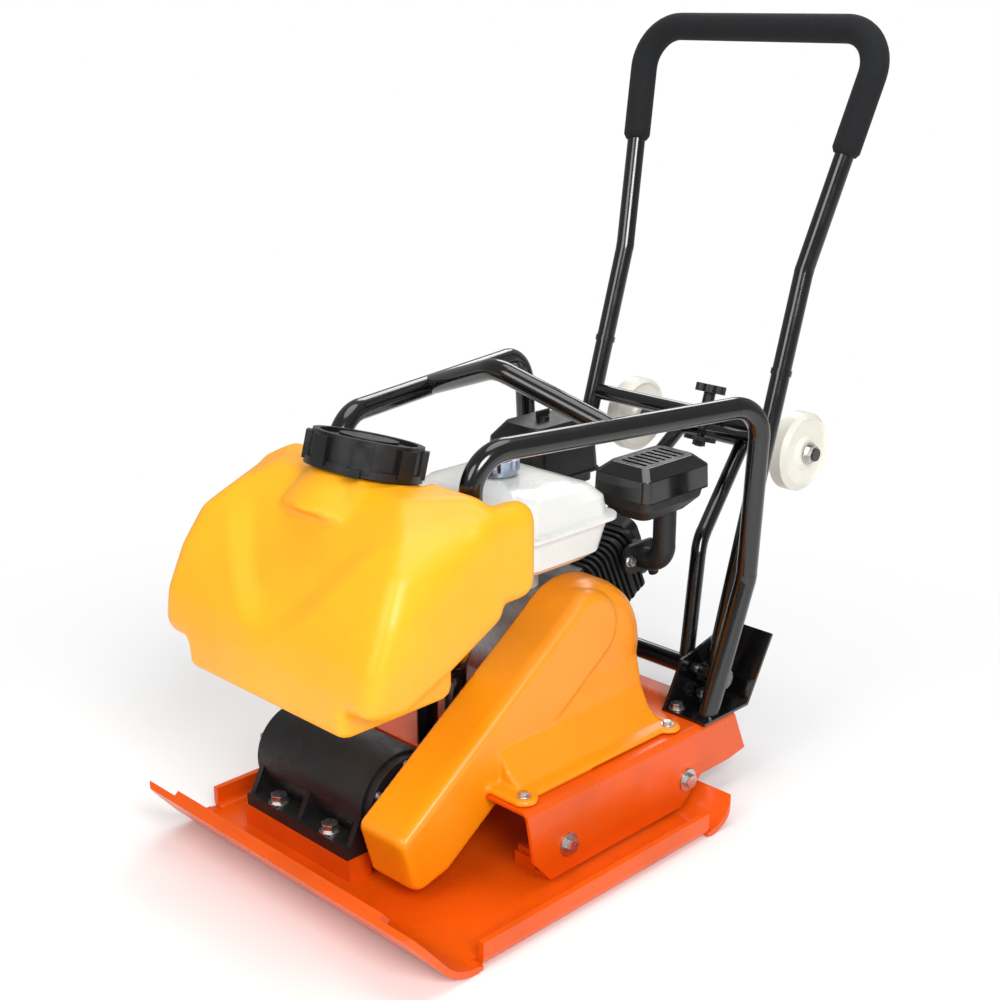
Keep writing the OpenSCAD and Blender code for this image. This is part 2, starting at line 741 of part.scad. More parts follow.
module cylinder_head() {
  color(cast_black) cyl_frame() difference() {
    union() {
      translate([0, 0, head_from]) linear_extrude(cover_from - head_from) soft_rect(76, 76, 12);
      fin_stack(cyl_half + 2, head_from, cover_from - 9, 9, 4);
      for (s = [-1, 1])
        translate([head_port_x, s * 36, head_port_z]) facing(s) cylinder(r = 20, h = port_y - 36);
    }
    translate([head_port_x, 20, head_port_z]) facing(1) cylinder(r = pipe_r - 2, h = 40);
    translate([plug_x, plug_y, cover_from - 14]) cylinder(r = 7 + fit, h = 20);
  }
}

module valve_cover() {
  color(cast_black) cyl_frame() {
    translate([12, -4, cover_from]) linear_extrude(4) soft_rect(56, 60, 10);
    translate([12, -4, cover_from + 3]) linear_extrude(21) soft_rect(46, 50, 14);
    for (s = [-1, 1]) translate([12 + s * 14, -4 - s * 16, cover_from + 23])
      cylinder(r = 5, h = 4, $fn = 6);
  }
}

plug_x = -32;
plug_y = 26;

module spark_plug() {
  color(rubber) cyl_frame() translate([plug_x, plug_y, cover_from - 12]) {
    cylinder(r = 7, h = 12);
    translate([0, 0, 12]) cylinder(r = 9.5, h = 6, $fn = 6);
    translate([0, 0, 18]) cylinder(r = 6, h = 8);
    translate([0, 0, 22]) cylinder(r = 9, h = 18);
    translate([0, 0, 34]) rotate([0, -90, 0]) cylinder(r = 7, h = 24);
  }
}

// Exhaust

pipe_r = 15;
pipe_bend = 24;
head_port_x = 12;
head_port_z = head_from + 21;
pipe_flange_t = 6;
stud_off = 26;

// A point of the cylinder's own frame, in the machine's frame
function from_cyl(p) = [crank_x + p.x * sin(cyl_tilt) - p.z * cos(cyl_tilt), p.y,
                        crank_z + p.x * cos(cyl_tilt) + p.z * sin(cyl_tilt)];
port_y = 50;
port = from_cyl([head_port_x, port_y, head_port_z]);
muffler_x0 = -346;
muffler_x1 = -216;
muffler_y0 = 46;
muffler_y1 = 138;
muffler_low = 384;
muffler_seam = 413;
muffler_top = 456;
pipe_y = 92;

module exhaust_pipe() {
  color(cast_black) {
    translate(port) facing(1) difference() {
      linear_extrude(pipe_flange_t) soft_rect(2 * stud_off + 18, 40, 16);
      translate([0, 0, -1]) cylinder(r = pipe_r - 2, h = pipe_flange_t + 2);
      for (s = [-1, 1]) translate([s * stud_off, 0, -1]) cylinder(r = 3.5, h = pipe_flange_t + 2);
    }
    bent_tube([port + [0, pipe_flange_t, 0], [port.x, pipe_y, port.z],
               [port.x, pipe_y, muffler_low]], pipe_bend, pipe_r, 2);
  }
}

module exhaust_nuts() {
  color(zinc) for (s = [-1, 1])
    translate(port + [s * stud_off, pipe_flange_t, 0]) facing(1)
      hex_bolt(6.5, 6, 8, 1.5, 3.3, pipe_flange_t);
}

// A flat slab of the muffler's outline, drawn in by an inset
module muffler_slab(z, inset, t = 1) {
  translate([(muffler_x0 + muffler_x1) / 2, (muffler_y0 + muffler_y1) / 2, z])
    linear_extrude(t) soft_rect(muffler_x1 - muffler_x0 - 2 * inset,
                                muffler_y1 - muffler_y0 - 2 * inset, 12, $fn = 24);
}

module muffler() {
  color(cast_black) {
    hull() {
      muffler_slab(muffler_low, 22);
      muffler_slab(muffler_seam - 12, 7);
      muffler_slab(muffler_seam - 1, 5);
    }
    muffler_slab(muffler_seam, 0, 2);
    muffler_slab(muffler_seam + 2, 8, muffler_top - muffler_seam - 19);
  }
}

module muffler_guard() {
  wall = 2;
  mid = [(muffler_x0 + muffler_x1) / 2, (muffler_y0 + muffler_y1) / 2];
  color(black) difference() {
    hull() {
      muffler_slab(muffler_seam + 2, 0);
      muffler_slab(muffler_top - 14, 1);
      muffler_slab(muffler_top - 1, 15);
    }
    hull() {
      muffler_slab(muffler_seam + 1, wall);
      muffler_slab(muffler_top - 14 - wall, wall + 1);
      muffler_slab(muffler_top - 1 - wall, 15 + wall);
    }
    for (k = [-3:3]) translate([mid.x + 12 * k - 2, mid.y - 20, muffler_top - 4])
      cube([5, 40, 8]);
  }
}

// Air intake, on the far side of the cylinder

air_x0 = -344;
air_x1 = -214;
air_y0 = -152;
air_y1 = -44;
air_low = 384;
air_seam = 402;
air_top = 470;

module air_slab(z, inset, t = 1) {
  translate([(air_x0 + air_x1) / 2, (air_y0 + air_y1) / 2, z])
    linear_extrude(t) soft_rect(air_x1 - air_x0 - 2 * inset, air_y1 - air_y0 - 2 * inset, 16, $fn = 24);
}

carb_y0 = -112;
carb_at = from_cyl([head_port_x, -port_y, head_port_z]);

module carburettor() {
  color(alloy) {
    translate(carb_at) facing(-1) cylinder(r = 17, h = 22);
    translate(carb_at + [-24, carb_y0 - carb_at.y, -18]) cube([48, carb_at.y - carb_y0 - 20, 36]);
    translate(carb_at + [0, carb_y0 - carb_at.y + 21, -44]) cylinder(r = 19, h = 28);
    translate(carb_at + [0, carb_y0 - carb_at.y + 21, 16]) cylinder(r = 14, h = air_low - carb_at.z - 16);
  }
}

module air_cleaner_base() {
  color(black) {
    air_slab(air_low, 8, air_seam - air_low - 4);
    air_slab(air_seam - 4, 0, 4);
  }
}

module air_cleaner_cover() {
  color(black) {
    hull() {
      air_slab(air_seam, 2);
      air_slab(air_top - 22, 5);
      air_slab(air_top - 1, 20);
    }
    translate([(air_x0 + air_x1) / 2, (air_y0 + air_y1) / 2, air_top]) {
      cylinder(r = 9, h = 5);
      translate([-12, -2, 5]) cube([24, 4, 8]);
    }
  }
}

// Recoil start, on the side away from the belt

fan_y0 = case_y0 - 48;
recoil_t = 30;
recoil_r = 82;
pull_u = unit([-0.5, -0.62, 0.6]);
grip_at = [crank_x - 51, fan_y0 - recoil_t + 4, crank_z + 51];

module fan_shroud() {
  color(black) difference() {
    across(fan_y0, case_y0 - gap) {
      translate([crank_x, crank_z]) circle(100);
      translate([crank_x - 100, crank_z - 84]) square([110, 84]);
    }
    cross_bar(crank_x, crank_z, 88, fan_y0 - 1, case_y0 - 8);
    cross_bar(crank_x, crank_z, crank_r + 6, fan_y0 - 1, case_y0 + 1);
  }
}

module recoil_cover() {
  color(black) difference() {
    translate([crank_x, fan_y0, crank_z]) facing(-1) rotate_extrude($fn = 72)
      polygon([[0, 0], [96, 0], [96, 5], [recoil_r, 8], [recoil_r - 10, recoil_t - 4],
               [recoil_r - 18, recoil_t], [0, recoil_t]]);
    translate([crank_x, fan_y0 + 1, crank_z]) facing(-1)
      cylinder(r = recoil_r - 16, h = recoil_t - 3);
    for (a = [0:30:330])
      translate([crank_x, fan_y0 - recoil_t - 1, crank_z]) rotate([-90, a, 0])
        translate([26, -4, 0]) cube([30, 8, 8]);
  }
}

module starter_grip() {
  color(rubber) aim(grip_at + pull_u * 0.4, pull_u) {
    cylinder(r = 5, h = 10);
    translate([0, 0, 8]) cylinder(r = 7, h = 7);
    translate([-26, -9, 14]) cube([52, 18, 14]);
    for (s = [-1, 1]) translate([s * 26, 0, 14]) cylinder(r = 9, h = 14);
  }
}

// Engine controls, below the air cleaner and on the fan shroud

lever_y = fan_y0 - 2;
throttle_at = [crank_x - 112, -62, crank_z + 60];
choke_at = [carb_at.x, carb_y0 - gap, carb_at.z + 6];
fuel_valve_at = [carb_at.x, carb_y0 - gap, carb_at.z - 10];
switch_at = [crank_x + 60, fan_y0 + 24, crank_z - 40];

// A small flat lever on a round hub that faces -Y, pointing along an angle in the X and Z plane
module lever(at, angle, length) {
  translate(at) {
    facing(-1) cylinder(r = 7, h = 6);
    rotate([0, -angle, 0]) translate([0, -5, -4]) cube([length, 4, 8]);
    rotate([0, -angle, 0]) translate([length, -5.6, 0]) facing(1) cylinder(r = 6.5, h = 5);
  }
}

module throttle_lever() { color(black) lever(choke_at + [-16, 0, 0], 150, 34); }
module choke_lever() { color(black) lever(choke_at + [4, 0, 0], 20, 26); }
module fuel_valve_lever() { color(black) lever(fuel_valve_at + [6, 0, 0], -30, 24); }

module engine_switch() {
  color([0.7, 0.08, 0.06]) translate([crank_x + 100 + gap, (fan_y0 + case_y0) / 2, crank_z])
    rotate([0, 90, 0]) {
      cylinder(r = 11, h = 8);
      translate([-3, -10, 7]) cube([6, 20, 8]);
    }
}

// Fuel tank

fuel_x = -122;
fuel_y = -8;
fuel_low = 346;
fuel_seam = 397;
fuel_top = 446;
fuel_cap_at = [-112, -18];
fuel_cap_r = 29;
fuel_neck_r = 20;
fuel_wall = 2;

module fuel_slab(z, inset, t = 1, r = 26) {
  translate([fuel_x, fuel_y, z]) linear_extrude(t)
    soft_rect(fuel_len - 2 * inset, fuel_wid - 2 * inset, r, $fn = 32);
}

module fuel_shape(inset) {
  hull() {
    fuel_slab(fuel_low + inset, 22 + inset);
    fuel_slab(fuel_low + 10, 10 + inset);
    fuel_slab(fuel_seam, 2 + inset);
    fuel_slab(fuel_top - 22, 6 + inset);
    fuel_slab(fuel_top - 9 - inset, 18 + inset);
    fuel_slab(fuel_top - 1 - inset, 44 + inset);
  }
}

module fuel_tank() {
  color(white) difference() {
    union() {
      fuel_shape(0);
      fuel_slab(fuel_seam, -6, 5);
      translate([fuel_cap_at.x, fuel_cap_at.y, fuel_top - 6]) cylinder(r = fuel_neck_r, h = 14);
      for (s = [-1, 1]) translate([crank_x + 20, s * 30 - 18, crank_z + 74])
        cylinder(r = 12, h = fuel_low - crank_z - 72);
    }
    cross_bar(crank_x, crank_z, 80 + gap, -100, 100);
    fuel_shape(fuel_wall);
    translate([fuel_cap_at.x, fuel_cap_at.y, fuel_top - 20])
      cylinder(r = fuel_neck_r - 2.5, h = 40);
  }
}

module fuel_cap() {
  color(alloy) translate([fuel_cap_at.x, fuel_cap_at.y, fuel_top + 8 + gap]) difference() {
    union() {
      translate([0, 0, -6]) cylinder(r = fuel_cap_r - 3, h = 8);
      cylinder(r = fuel_cap_r, h = 13);
      translate([0, 0, 13]) cylinder(r = fuel_cap_r - 8, h = 3);
    }
    translate([0, 0, -7]) cylinder(r = fuel_neck_r + gap, h = 7);
    for (a = [0:45:315]) rotate(a) translate([fuel_cap_r + 3, 0, -8]) cylinder(r = 6, h = 30);
  }
}

// Guard frame

frame_bend = 46;
rear_plate_t = 4;
frame_front_y = 115;
frame_rear_y = 205;
frame_leg_x = 62;
frame_foot_y = 26;
frame_foot_x = deck_nose - frame_r - 5;
frame_path = [[frame_foot_x, frame_foot_y, deck_z], [frame_foot_x, frame_foot_y, 238],
  [frame_leg_x, frame_front_y, 352], [frame_leg_x, frame_front_y, frame_z],
  [-352, frame_rear_y, frame_z], [-354, 193, 300], [-304, 177.4, deck_z - 4]];

module frame_hoop() {
  color(black) difference() {
    bent_tube(frame_path, frame_bend, frame_r, tube_wall);
    translate([-400, 100, 0]) cube([200, 150, deck_z + rear_plate_t]);
  }
}

module frame_left() { frame_hoop(); }
module frame_right() { mirror([0, 1, 0]) frame_hoop(); }

lift_x = -128;
lift_y = frame_front_y + (frame_leg_x - lift_x) / (frame_leg_x + 352) * (frame_rear_y - frame_front_y);
lift_apex = [-92, 0, frame_z + lift_rise];

module lifting_bar() {
  ends = [lift_x, lift_y, frame_z];
  color(black) difference() {
    bent_tube([ends, lift_apex, [ends.x, -ends.y, ends.z]], frame_bend, frame_r - 0.5, tube_wall);
    for (m = [0, 1]) mirror([0, m, 0])
      bar([frame_leg_x, frame_front_y, frame_z], [-352, frame_rear_y, frame_z], frame_r + 0.1);
  }
}

// Water tank

tank_rear = 82;
tank_wing_rear = 26;
tank_foot_low = 268;
tank_foot_half = 138;
tank_round = 22;
bracket_plate_t = 4;

module tank_bracket() {
  x = frame_leg_x + frame_r + gap;
  color(black) {
    translate([x, -frame_front_y - 12, 372]) cube([tank_rear - x, 2 * frame_front_y + 24, 70]);
  }
}

// Balls that the tank's skin is drawn over, on one side: front, waist, shoulder, top and back
function tank_balls(s) = [[254, s * (tank_half - 27), 320], [249, s * (tank_half - 25), 348],
  [229, s * (tank_half - 27), 394], [207, s * (tank_half - 35), 432], [180, s * (tank_half - 57), 457],
  [150, s * 105, tank_top - 28], [96, s * (tank_half - 45), 479], [96, s * (tank_half - 25), 470],
  [96, s * (tank_half - 24), 380], [170, s * (tank_half - 27), 339], [225, s * (tank_half - 29), 314]];

module tank_skin(r) {
  hull() for (s = [-1, 1], p = tank_balls(s)) translate(p) sphere(r, $fn = 20);
}

module tank_wing(inset) {
  hull() for (z = [399, 468], x = [tank_wing_rear + 22, 112])
    translate([x, tank_half - 26, z]) sphere(22 - inset, $fn = 20);
}

neck_at = [118, 0, tank_top - 2];

module neck_frame() {
  translate(neck_at) rotate([0, -cap_lean, 0]) children();
}

module water_tank() {
  color(tank_yellow) difference() {
    union() {
      difference() {
        union() {
          tank_skin(tank_round);
          translate([187, 0, tank_foot_low]) linear_extrude(88) soft_rect(150, 2 * tank_foot_half, 18);
          translate([238, 0, tank_foot_low + 0.5])
            linear_extrude(43) soft_rect(72, 2 * tank_foot_half - 3, 16);
        }
        translate([tank_rear - 200, -tank_half - 10, 200]) cube([200, 2 * tank_half + 20, 400]);
        neck_frame() translate([0, 0, -5.5]) cylinder(r = cap_r + 22, h = 60);
      }
      for (m = [0, 1]) mirror([0, m, 0]) tank_wing(0);
      neck_frame() translate([0, 0, -22]) cylinder(r = cap_r - 8, h = 36);
    }
    difference() {
      tank_skin(tank_round - tank_wall);
      translate([tank_rear - 200 + tank_wall, -tank_half - 10, 200])
        cube([200, 2 * tank_half + 20, 400]);
    }
    neck_frame() translate([0, 0, -60]) cylinder(r = cap_r - 14, h = 90);
  }
}

module water_cap() {
  color(black) neck_frame() difference() {
    union() {
      cylinder(r = cap_r, h = 36);
      for (k = [0:7]) rotate(45 * k) translate([cap_r - 6, -11, 0]) cube([12, 22, 32]);
      translate([0, 0, -4]) cylinder(r = cap_r + 4, h = 9);
      for (a = [40, 220]) rotate(a) translate([cap_r, -8, -4]) cube([20, 16, 9]);
    }
    translate([0, 0, -5]) cylinder(r = cap_r - 8 + gap, h = 19 + gap);
    translate([0, 0, 31]) difference() {
      cylinder(r = cap_r - 8, h = 6);
      translate([0, 0, -1]) cylinder(r = cap_r - 30, h = 8);
    }
  }
}

// Rear brackets and pivot

bracket_x0 = -369;
bracket_x1 = -276;
bracket_y0 = 125;
bracket_y1 = 196;
bracket_bolt_r = 5;
bracket_bolt_xs = [bracket_x1 - 12, bracket_x0 + 22];
bracket_bolt_y = 140;
pivot_x = -pivot_back;
pivot_z = deck_z + pivot_rise;
back_lean = 29.4;
back_len = 100;

module rear_bracket() {
  low = deck_z + rear_plate_t;
  color(black) difference() {
    union() {
      translate([bracket_x0, bracket_y0, deck_z])
        cube([bracket_x1 - bracket_x0, bracket_y1 - bracket_y0, rear_plate_t]);
      translate([bracket_x0, bracket_y0, deck_z]) rotate([0, -back_lean, 0])
        cube([rear_plate_t, bracket_y1 - bracket_y0, back_len]);
      across(bracket_y0, bracket_y0 + rear_plate_t) polygon([[bracket_x0, deck_z],
        [bracket_x1, deck_z], [bracket_x1 - 34, pivot_z + 26], [bracket_x1 - 60, pivot_z + 30],
        [bracket_x0 - back_len * sin(back_lean) + 2, deck_z + back_len * cos(back_lean)]]);
    }
    cross_bar(pivot_x, pivot_z, pin_r + fit, bracket_y0 - 1, bracket_y1);
    for (x = bracket_bolt_xs) translate([x, bracket_bolt_y, deck_z - 1])
      cylinder(r = bracket_bolt_r + 0.3, h = rear_plate_t + 2);
  }
}

module rear_bracket_left() { rear_bracket(); }
module rear_bracket_right() { mirror([0, 1, 0]) rear_bracket(); }

module bracket_bolts() {
  color(zinc) for (s = [-1, 1], x = bracket_bolt_xs)
    translate([x, s * bracket_bolt_y, deck_z + rear_plate_t])
      hex_bolt(8, 6, 11, 2, bracket_bolt_r, rear_plate_t + deck_t);
}

module pivot_pin() {
  reach = handle_half + 20;
  color(zinc) {
    cross_bar(pivot_x, pivot_z, pin_r, -reach, reach);
    for (s = [-1, 1]) translate([pivot_x, s * reach, pivot_z]) facing(s) cylinder(r = 13, h = 3);
  }
}

// Handle, in a frame that starts at the pivot and leans with the handle

module handle_frame() {
  translate([pivot_x, 0, pivot_z]) rotate([0, -handle_lean, 0]) children();
}

eye_r = 17;
eye_half = 14;
top_bend = 52;
cross_r = 11;
screw_r = 5;
screw_y = 48;
handle_path = [[0, handle_half, eye_r - 3], [0, handle_half, handle_bend],
  [0, handle_top_half, handle_len], [0, -handle_top_half, handle_len],
  [0, -handle_half, handle_bend], [0, -handle_half, eye_r - 3]];

module handle() {
  color(black) handle_frame() difference() {
    union() {
      bent_bar(handle_path, top_bend, handle_r, 0, 0);
      cross_tube(cross_r, handle_half - handle_r + 1);
      for (s = [-1, 1]) cross_bar(0, 0, eye_r, s * handle_half - eye_half, s * handle_half + eye_half);
      for (s = [-1, 1]) translate([0, s * handle_half, 405]) cylinder(r = handle_r + 1.5, h = 8);
    }
    bent_bar(handle_path, top_bend, handle_r - tube_wall, 12, 12);
    cross_tube(cross_r - tube_wall, handle_half - handle_r - 2);
    cross_bar(0, 0, pin_r + fit, -handle_half - 60, handle_half + 60);
    translate([0, screw_y, cross_at - 30]) cylinder(r = screw_r + gap, h = 60);
  }
}

module cross_tube(r, half) {
  cross_bar(0, cross_at, r, -half, half);
}

module foam_grip() {
  splay = unit([0, handle_top_half - handle_half, handle_len - handle_bend]);
  low = [0, handle_half, handle_bend] + splay * grip_gap;
  path = [low, [0, handle_top_half, handle_len], [0, -handle_top_half, handle_len], [low.x, -low.y, low.z]];
  color(rubber) handle_frame() difference() {
    bent_bar(path, top_bend, grip_r, 0, 0);
    bent_bar(path, top_bend, handle_r + fit, -1, -1);
  }
}

// Wheel carriage and lock

axle_r = 9;
arm_r = 10.5;
arm_foot_y = 104;
sleeve_r = 13;
arm_top_y = 56;
axle_at = [-180, 271];
tongue_t = 5;
tongue_w = 44;
axle_local = [axle_at.x * cos(handle_lean) + axle_at.y * sin(handle_lean),
              axle_at.y * cos(handle_lean) - axle_at.x * sin(handle_lean)];
wheel_clear = 1.5;
hub_half = wheel_w / 2;

module pivot_frame() {
  translate([pivot_x, 0, pivot_z]) children();
}

module wheel_carriage() {
  arm = [[-4, arm_foot_y, 8], [-54, 80, 157], [axle_at.x + 4, arm_top_y, axle_at.y - 4]];
  half = wheel_y - hub_half - wheel_clear;
  color(black) pivot_frame() difference() {
    union() {
      cross_bar(0, 0, sleeve_r, -arm_foot_y - 16, arm_foot_y + 16);
      for (m = [0, 1]) mirror([0, m, 0]) bent_bar(arm, 60, arm_r, 0, 0);
      cross_bar(axle_at.x, axle_at.y, axle_r + 4, -half, half);
      cross_bar(axle_at.x, axle_at.y, axle_r, -wheel_y - hub_half - 14, wheel_y + hub_half + 14);
      rotate([0, -handle_lean, 0]) translate([axle_local.x, screw_y - tongue_w / 2, axle_local.y - tongue_t / 2])
        cube([18 - axle_local.x, tongue_w, tongue_t]);
    }
    cross_bar(0, 0, pin_r + fit, -arm_foot_y - 20, arm_foot_y + 20);
    rotate([0, -handle_lean, 0]) translate([-screw_r - 2, screw_y - screw_r - 1.5, axle_local.y - 20])
      cube([40, 2 * screw_r + 3, 40]);
  }
}

module wheel(side) {
  y0 = wheel_y - hub_half;
  y1 = wheel_y + hub_half;
  color([0.92, 0.91, 0.85]) pivot_frame() translate([axle_at.x, side * wheel_y, axle_at.y]) facing(side)
    rotate_extrude($fn = 72) polygon([[axle_r + fit, -hub_half], [20, -hub_half], [24, -hub_half + 5],
      [wheel_r - 10, -hub_half + 5], [wheel_r - 6, -hub_half + 2], [wheel_r, -hub_half + 8],
      [wheel_r, hub_half - 8], [wheel_r - 6, hub_half - 2], [wheel_r - 10, hub_half - 5],
      [24, hub_half - 5], [20, hub_half], [axle_r + fit, hub_half]]);
}

module wheel_left() { wheel(1); }
module wheel_right() { wheel(-1); }

module wheel_nuts() {
  color(zinc) pivot_frame() for (s = [-1, 1])
    translate([axle_at.x, s * (wheel_y + hub_half + wheel_clear), axle_at.y]) facing(s) difference() {
      union() {
        cylinder(r = 15, h = 2);
        translate([0, 0, 2]) cylinder(r = 12, h = 8, $fn = 6);
      }
      translate([0, 0, -1]) cylinder(r = axle_r + fit, h = 20);
    }
}

knob_r = 21;

module lock_knob() {
  top = cross_at + cross_r;
  low = axle_local.y - tongue_t / 2 - 5;
  color(black) handle_frame() translate([0, screw_y, 0]) {
    translate([0, 0, low - 14]) cylinder(r = screw_r, h = top - low + 20);
    translate([0, 0, low - 6]) cylinder(r = 22, h = 6);
    translate([0, 0, low - 13]) cylinder(r = 9, h = 7, $fn = 6);
    translate([0, 0, top + 1]) cylinder(r = 8, h = 22);
    translate([0, 0, top + 20]) difference() {
      cylinder(r = knob_r, h = 11);
      for (a = [0:60:300]) rotate(a) translate([knob_r + 3, 0, -1]) cylinder(r = 7, h = 13);
    }
  }
}

base_plate();
exciter_housing();
exciter_cap_left();
exciter_cap_right();
exciter_cap_bolts();
exciter_bolts();
exciter_bearings();
eccentric_shaft();
exciter_pulley();
rubber_mounts();
mount_bolts();
mount_nuts();
console_deck();
belt_cover();
cover_screws();
v_belt();
clutch_pulley();
crankshaft();
crankcase();
crankcase_cover();
crankcase_bolts();
engine_bolts();
oil_plugs();
engine_cylinder();
cylinder_head();
valve_cover();
spark_plug();
exhaust_pipe();
exhaust_nuts();
muffler();
muffler_guard();
carburettor();
air_cleaner_base();
air_cleaner_cover();
fan_shroud();
recoil_cover();
starter_grip();
throttle_lever();
choke_lever();
fuel_valve_lever();
engine_switch();
fuel_tank();
fuel_cap();
frame_left();
frame_right();
lifting_bar();
tank_bracket();
water_tank();
water_cap();
rear_bracket_left();
rear_bracket_right();
bracket_bolts();
pivot_pin();
handle();
foam_grip();
wheel_carriage();
wheel_left();
wheel_right();
wheel_nuts();
lock_knob();
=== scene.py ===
"""Dresses the plate compactor: finishes for every metal, plastic and rubber piece, the moulded water
tank and belt cover, the foam grip, and a pale studio round it. Sizes are in metres."""

import json
import math

import bmesh
import bpy
from bpy.props import FloatProperty, FloatVectorProperty, IntProperty, PointerProperty
from bpy.types import Operator, Panel, PropertyGroup
from mathutils import Matrix, Vector


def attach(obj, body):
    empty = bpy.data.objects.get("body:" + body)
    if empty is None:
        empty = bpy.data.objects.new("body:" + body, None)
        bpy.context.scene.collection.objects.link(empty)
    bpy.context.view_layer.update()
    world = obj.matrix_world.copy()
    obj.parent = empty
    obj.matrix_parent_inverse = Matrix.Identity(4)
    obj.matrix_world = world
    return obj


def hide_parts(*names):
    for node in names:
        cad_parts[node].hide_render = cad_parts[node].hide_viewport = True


bl_info = {
    "name": "Plate compactor",
    "version": (1, 0, 0),
    "blender": (4, 5, 0),
    "location": "View3D > Sidebar > Compactor",
    "description": "Finishes and moulded pieces of a walk-behind plate compactor",
    "category": "Object",
}

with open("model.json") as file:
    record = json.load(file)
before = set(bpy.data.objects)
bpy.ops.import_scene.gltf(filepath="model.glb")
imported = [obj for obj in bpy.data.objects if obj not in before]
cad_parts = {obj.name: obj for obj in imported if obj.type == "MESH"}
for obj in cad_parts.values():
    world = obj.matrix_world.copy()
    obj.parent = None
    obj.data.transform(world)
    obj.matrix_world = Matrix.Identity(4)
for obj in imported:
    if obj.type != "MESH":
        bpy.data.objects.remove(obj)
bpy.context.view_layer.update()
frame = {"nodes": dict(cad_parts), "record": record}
CHASSIS = "chassis"
HANDLE = "handle_group"

# Material names by the record's slot names, filled in when the finishes are made
FINISH_NAMES = {}

# Where the photograph was taken from
CAMERA_AT = (1.192, 1.28635, 1.00538)
CAMERA_TURN = (math.radians(72.16), 0, math.radians(134.89))
SENSOR_WIDTH = 36

# Lamps, all aimed at one point: name, place, width and power in watts
LAMP_AIM = Vector((0, 0, 0.35))
LAMPS = (
    ("key lamp", (1.5, 2.8, 2.4), 1.6, 104),
    ("front lamp", (3.0, 0.2, 2.2), 1.8, 36),
    ("top lamp", (-0.4, 0.2, 3.4), 2.4, 42),
    ("back lamp", (-2.6, -1.8, 2.4), 1.6, 26),
)

# Floor: half its width, how far it lies below the plate, and where it goes from shaded to white
FLOOR_HALF = 8
FLOOR_DROP = 0.0005
FLOOR_SHADED = 0.55
FLOOR_WHITE = 1.3

# Strength of the white surround as a light and as a backdrop
SURROUND_LIGHT = 0.34
SURROUND_SEEN = 1.0

# Shares of a noise texture that most of its values lie between, and octaves of a slow drift
NOISE_LOW = 0.3
NOISE_HIGH = 0.7
DRIFT_DETAIL = 4.0
COAT_ROUGH = 0.08

# Rounding of CAD edges: gap that is welded, turn taken as flat, turn taken as an edge
WELD_GAP = 0.00002
FLAT_TURN = math.radians(0.8)
EDGE_TURN = math.radians(28.0)
SMALL_EDGE_SHARE = 0.6
EDGE_NODES = (
    "base_plate",
    "console_deck",
    "exciter_housing",
    "rear_bracket_left",
    "rear_bracket_right",
    "muffler_guard",
    "muffler",
    "water_cap",
    "lock_knob",
    "air_cleaner_base",
    "air_cleaner_cover",
    "fuel_tank",
)
SMALL_EDGE_NODES = (
    "exciter_cap_left",
    "exciter_cap_right",
    "exciter_cap_bolts",
    "exciter_bolts",
    "mount_bolts",
    "mount_nuts",
    "cover_screws",
    "engine_bolts",
    "bracket_bolts",
    "exhaust_nuts",
    "wheel_nuts",
    "engine_cylinder",
    "cylinder_head",
    "valve_cover",
    "crankcase",
    "recoil_cover",
    "fan_shroud",
    "fuel_cap",
    "starter_grip",
)

# Rows and turns of the points on a ball
BALL_ROWS = 12
BALL_TURNS = 24

# Back wall of the tank, against its bracket, and half its flat width
TANK_REAR = 0.0825
TANK_REAR_HALF = 0.14

# Ball centres that the tank's skin is drawn round, one side of the middle: forward, sideways, up
TANK_BODY = (
    (0.254, 0.168, 0.320),
    (0.249, 0.170, 0.348),
    (0.229, 0.168, 0.394),
    (0.207, 0.160, 0.432),
    (0.180, 0.138, 0.457),
    (0.150, 0.105, 0.480),
    (0.096, 0.150, 0.479),
    (0.096, 0.170, 0.470),
    (0.096, 0.171, 0.380),
    (0.170, 0.168, 0.339),
    (0.225, 0.166, 0.314),
)

# Ball centres of the wings at the tank's back: sideways, forward, up
WING_SIDE = 0.169
WING_FORWARD = (0.048, 0.112)
WING_UP = (0.399, 0.468)

# Foot of the tank, seen from the side (forward, up), with its half width and corner radius
TANK_FOOT = ((0.112, 0.268), (0.274, 0.268), (0.2765, 0.312), (0.2755, 0.338), (0.112, 0.345))
TANK_FOOT_HALF = 0.138
TANK_FOOT_ROUND = 0.012

# Filler neck: its place and lean, the collar round it, and the flat seat below the cap
NECK_AT = (0.118, 0, 0.506)
NECK_LEAN = math.radians(-16)
COLLAR_LOW_RADIUS = 0.086
COLLAR_TOP_RADIUS = 0.057
COLLAR_TALL = 0.05
COLLAR_MIDDLE = -0.028
SEAT_RADIUS = 0.086
SEAT_HEIGHT = -0.0055

# Hollow in the tank's front: where it starts (forward, up), its height, half width at the tip, what
# the half width grows by and how fast, its soft edge, and the shares of its height where it fades
SCOOP_FORWARD = 0.17
SCOOP_LOW = 0.335
SCOOP_TALL = 0.135
SCOOP_TIP = 0.014
SCOOP_SPREAD = 0.125
SCOOP_CURVE = 0.8
SCOOP_EDGE = 0.045
SCOOP_FADE_IN = 0.4
SCOOP_END = 1.08
SCOOP_FADE_OUT = 0.3

# Belt cover: its foot's underside, the thickness of the foot, and how far out and along the foot runs
COVER_FOOT = 0.1163
COVER_FOOT_TALL = 0.007
COVER_FOOT_SIDES = (0.050, 0.172)
COVER_FOOT_ENDS = (-0.252, 0.045)

# Slices of the cover's arm (sideways, inset) and of the dome over the clutch (sideways, radius)
COVER_ARM = ((0.0465, 0.0), (0.106, 0.0005), (0.116, 0.003), (0.1212, 0.009))
COVER_DOME = ((0.0468, 0.097), (0.080, 0.0965), (0.098, 0.092), (0.107, 0.084), (0.112, 0.070))
COVER_DOME_AT = (-0.160, 0.222)

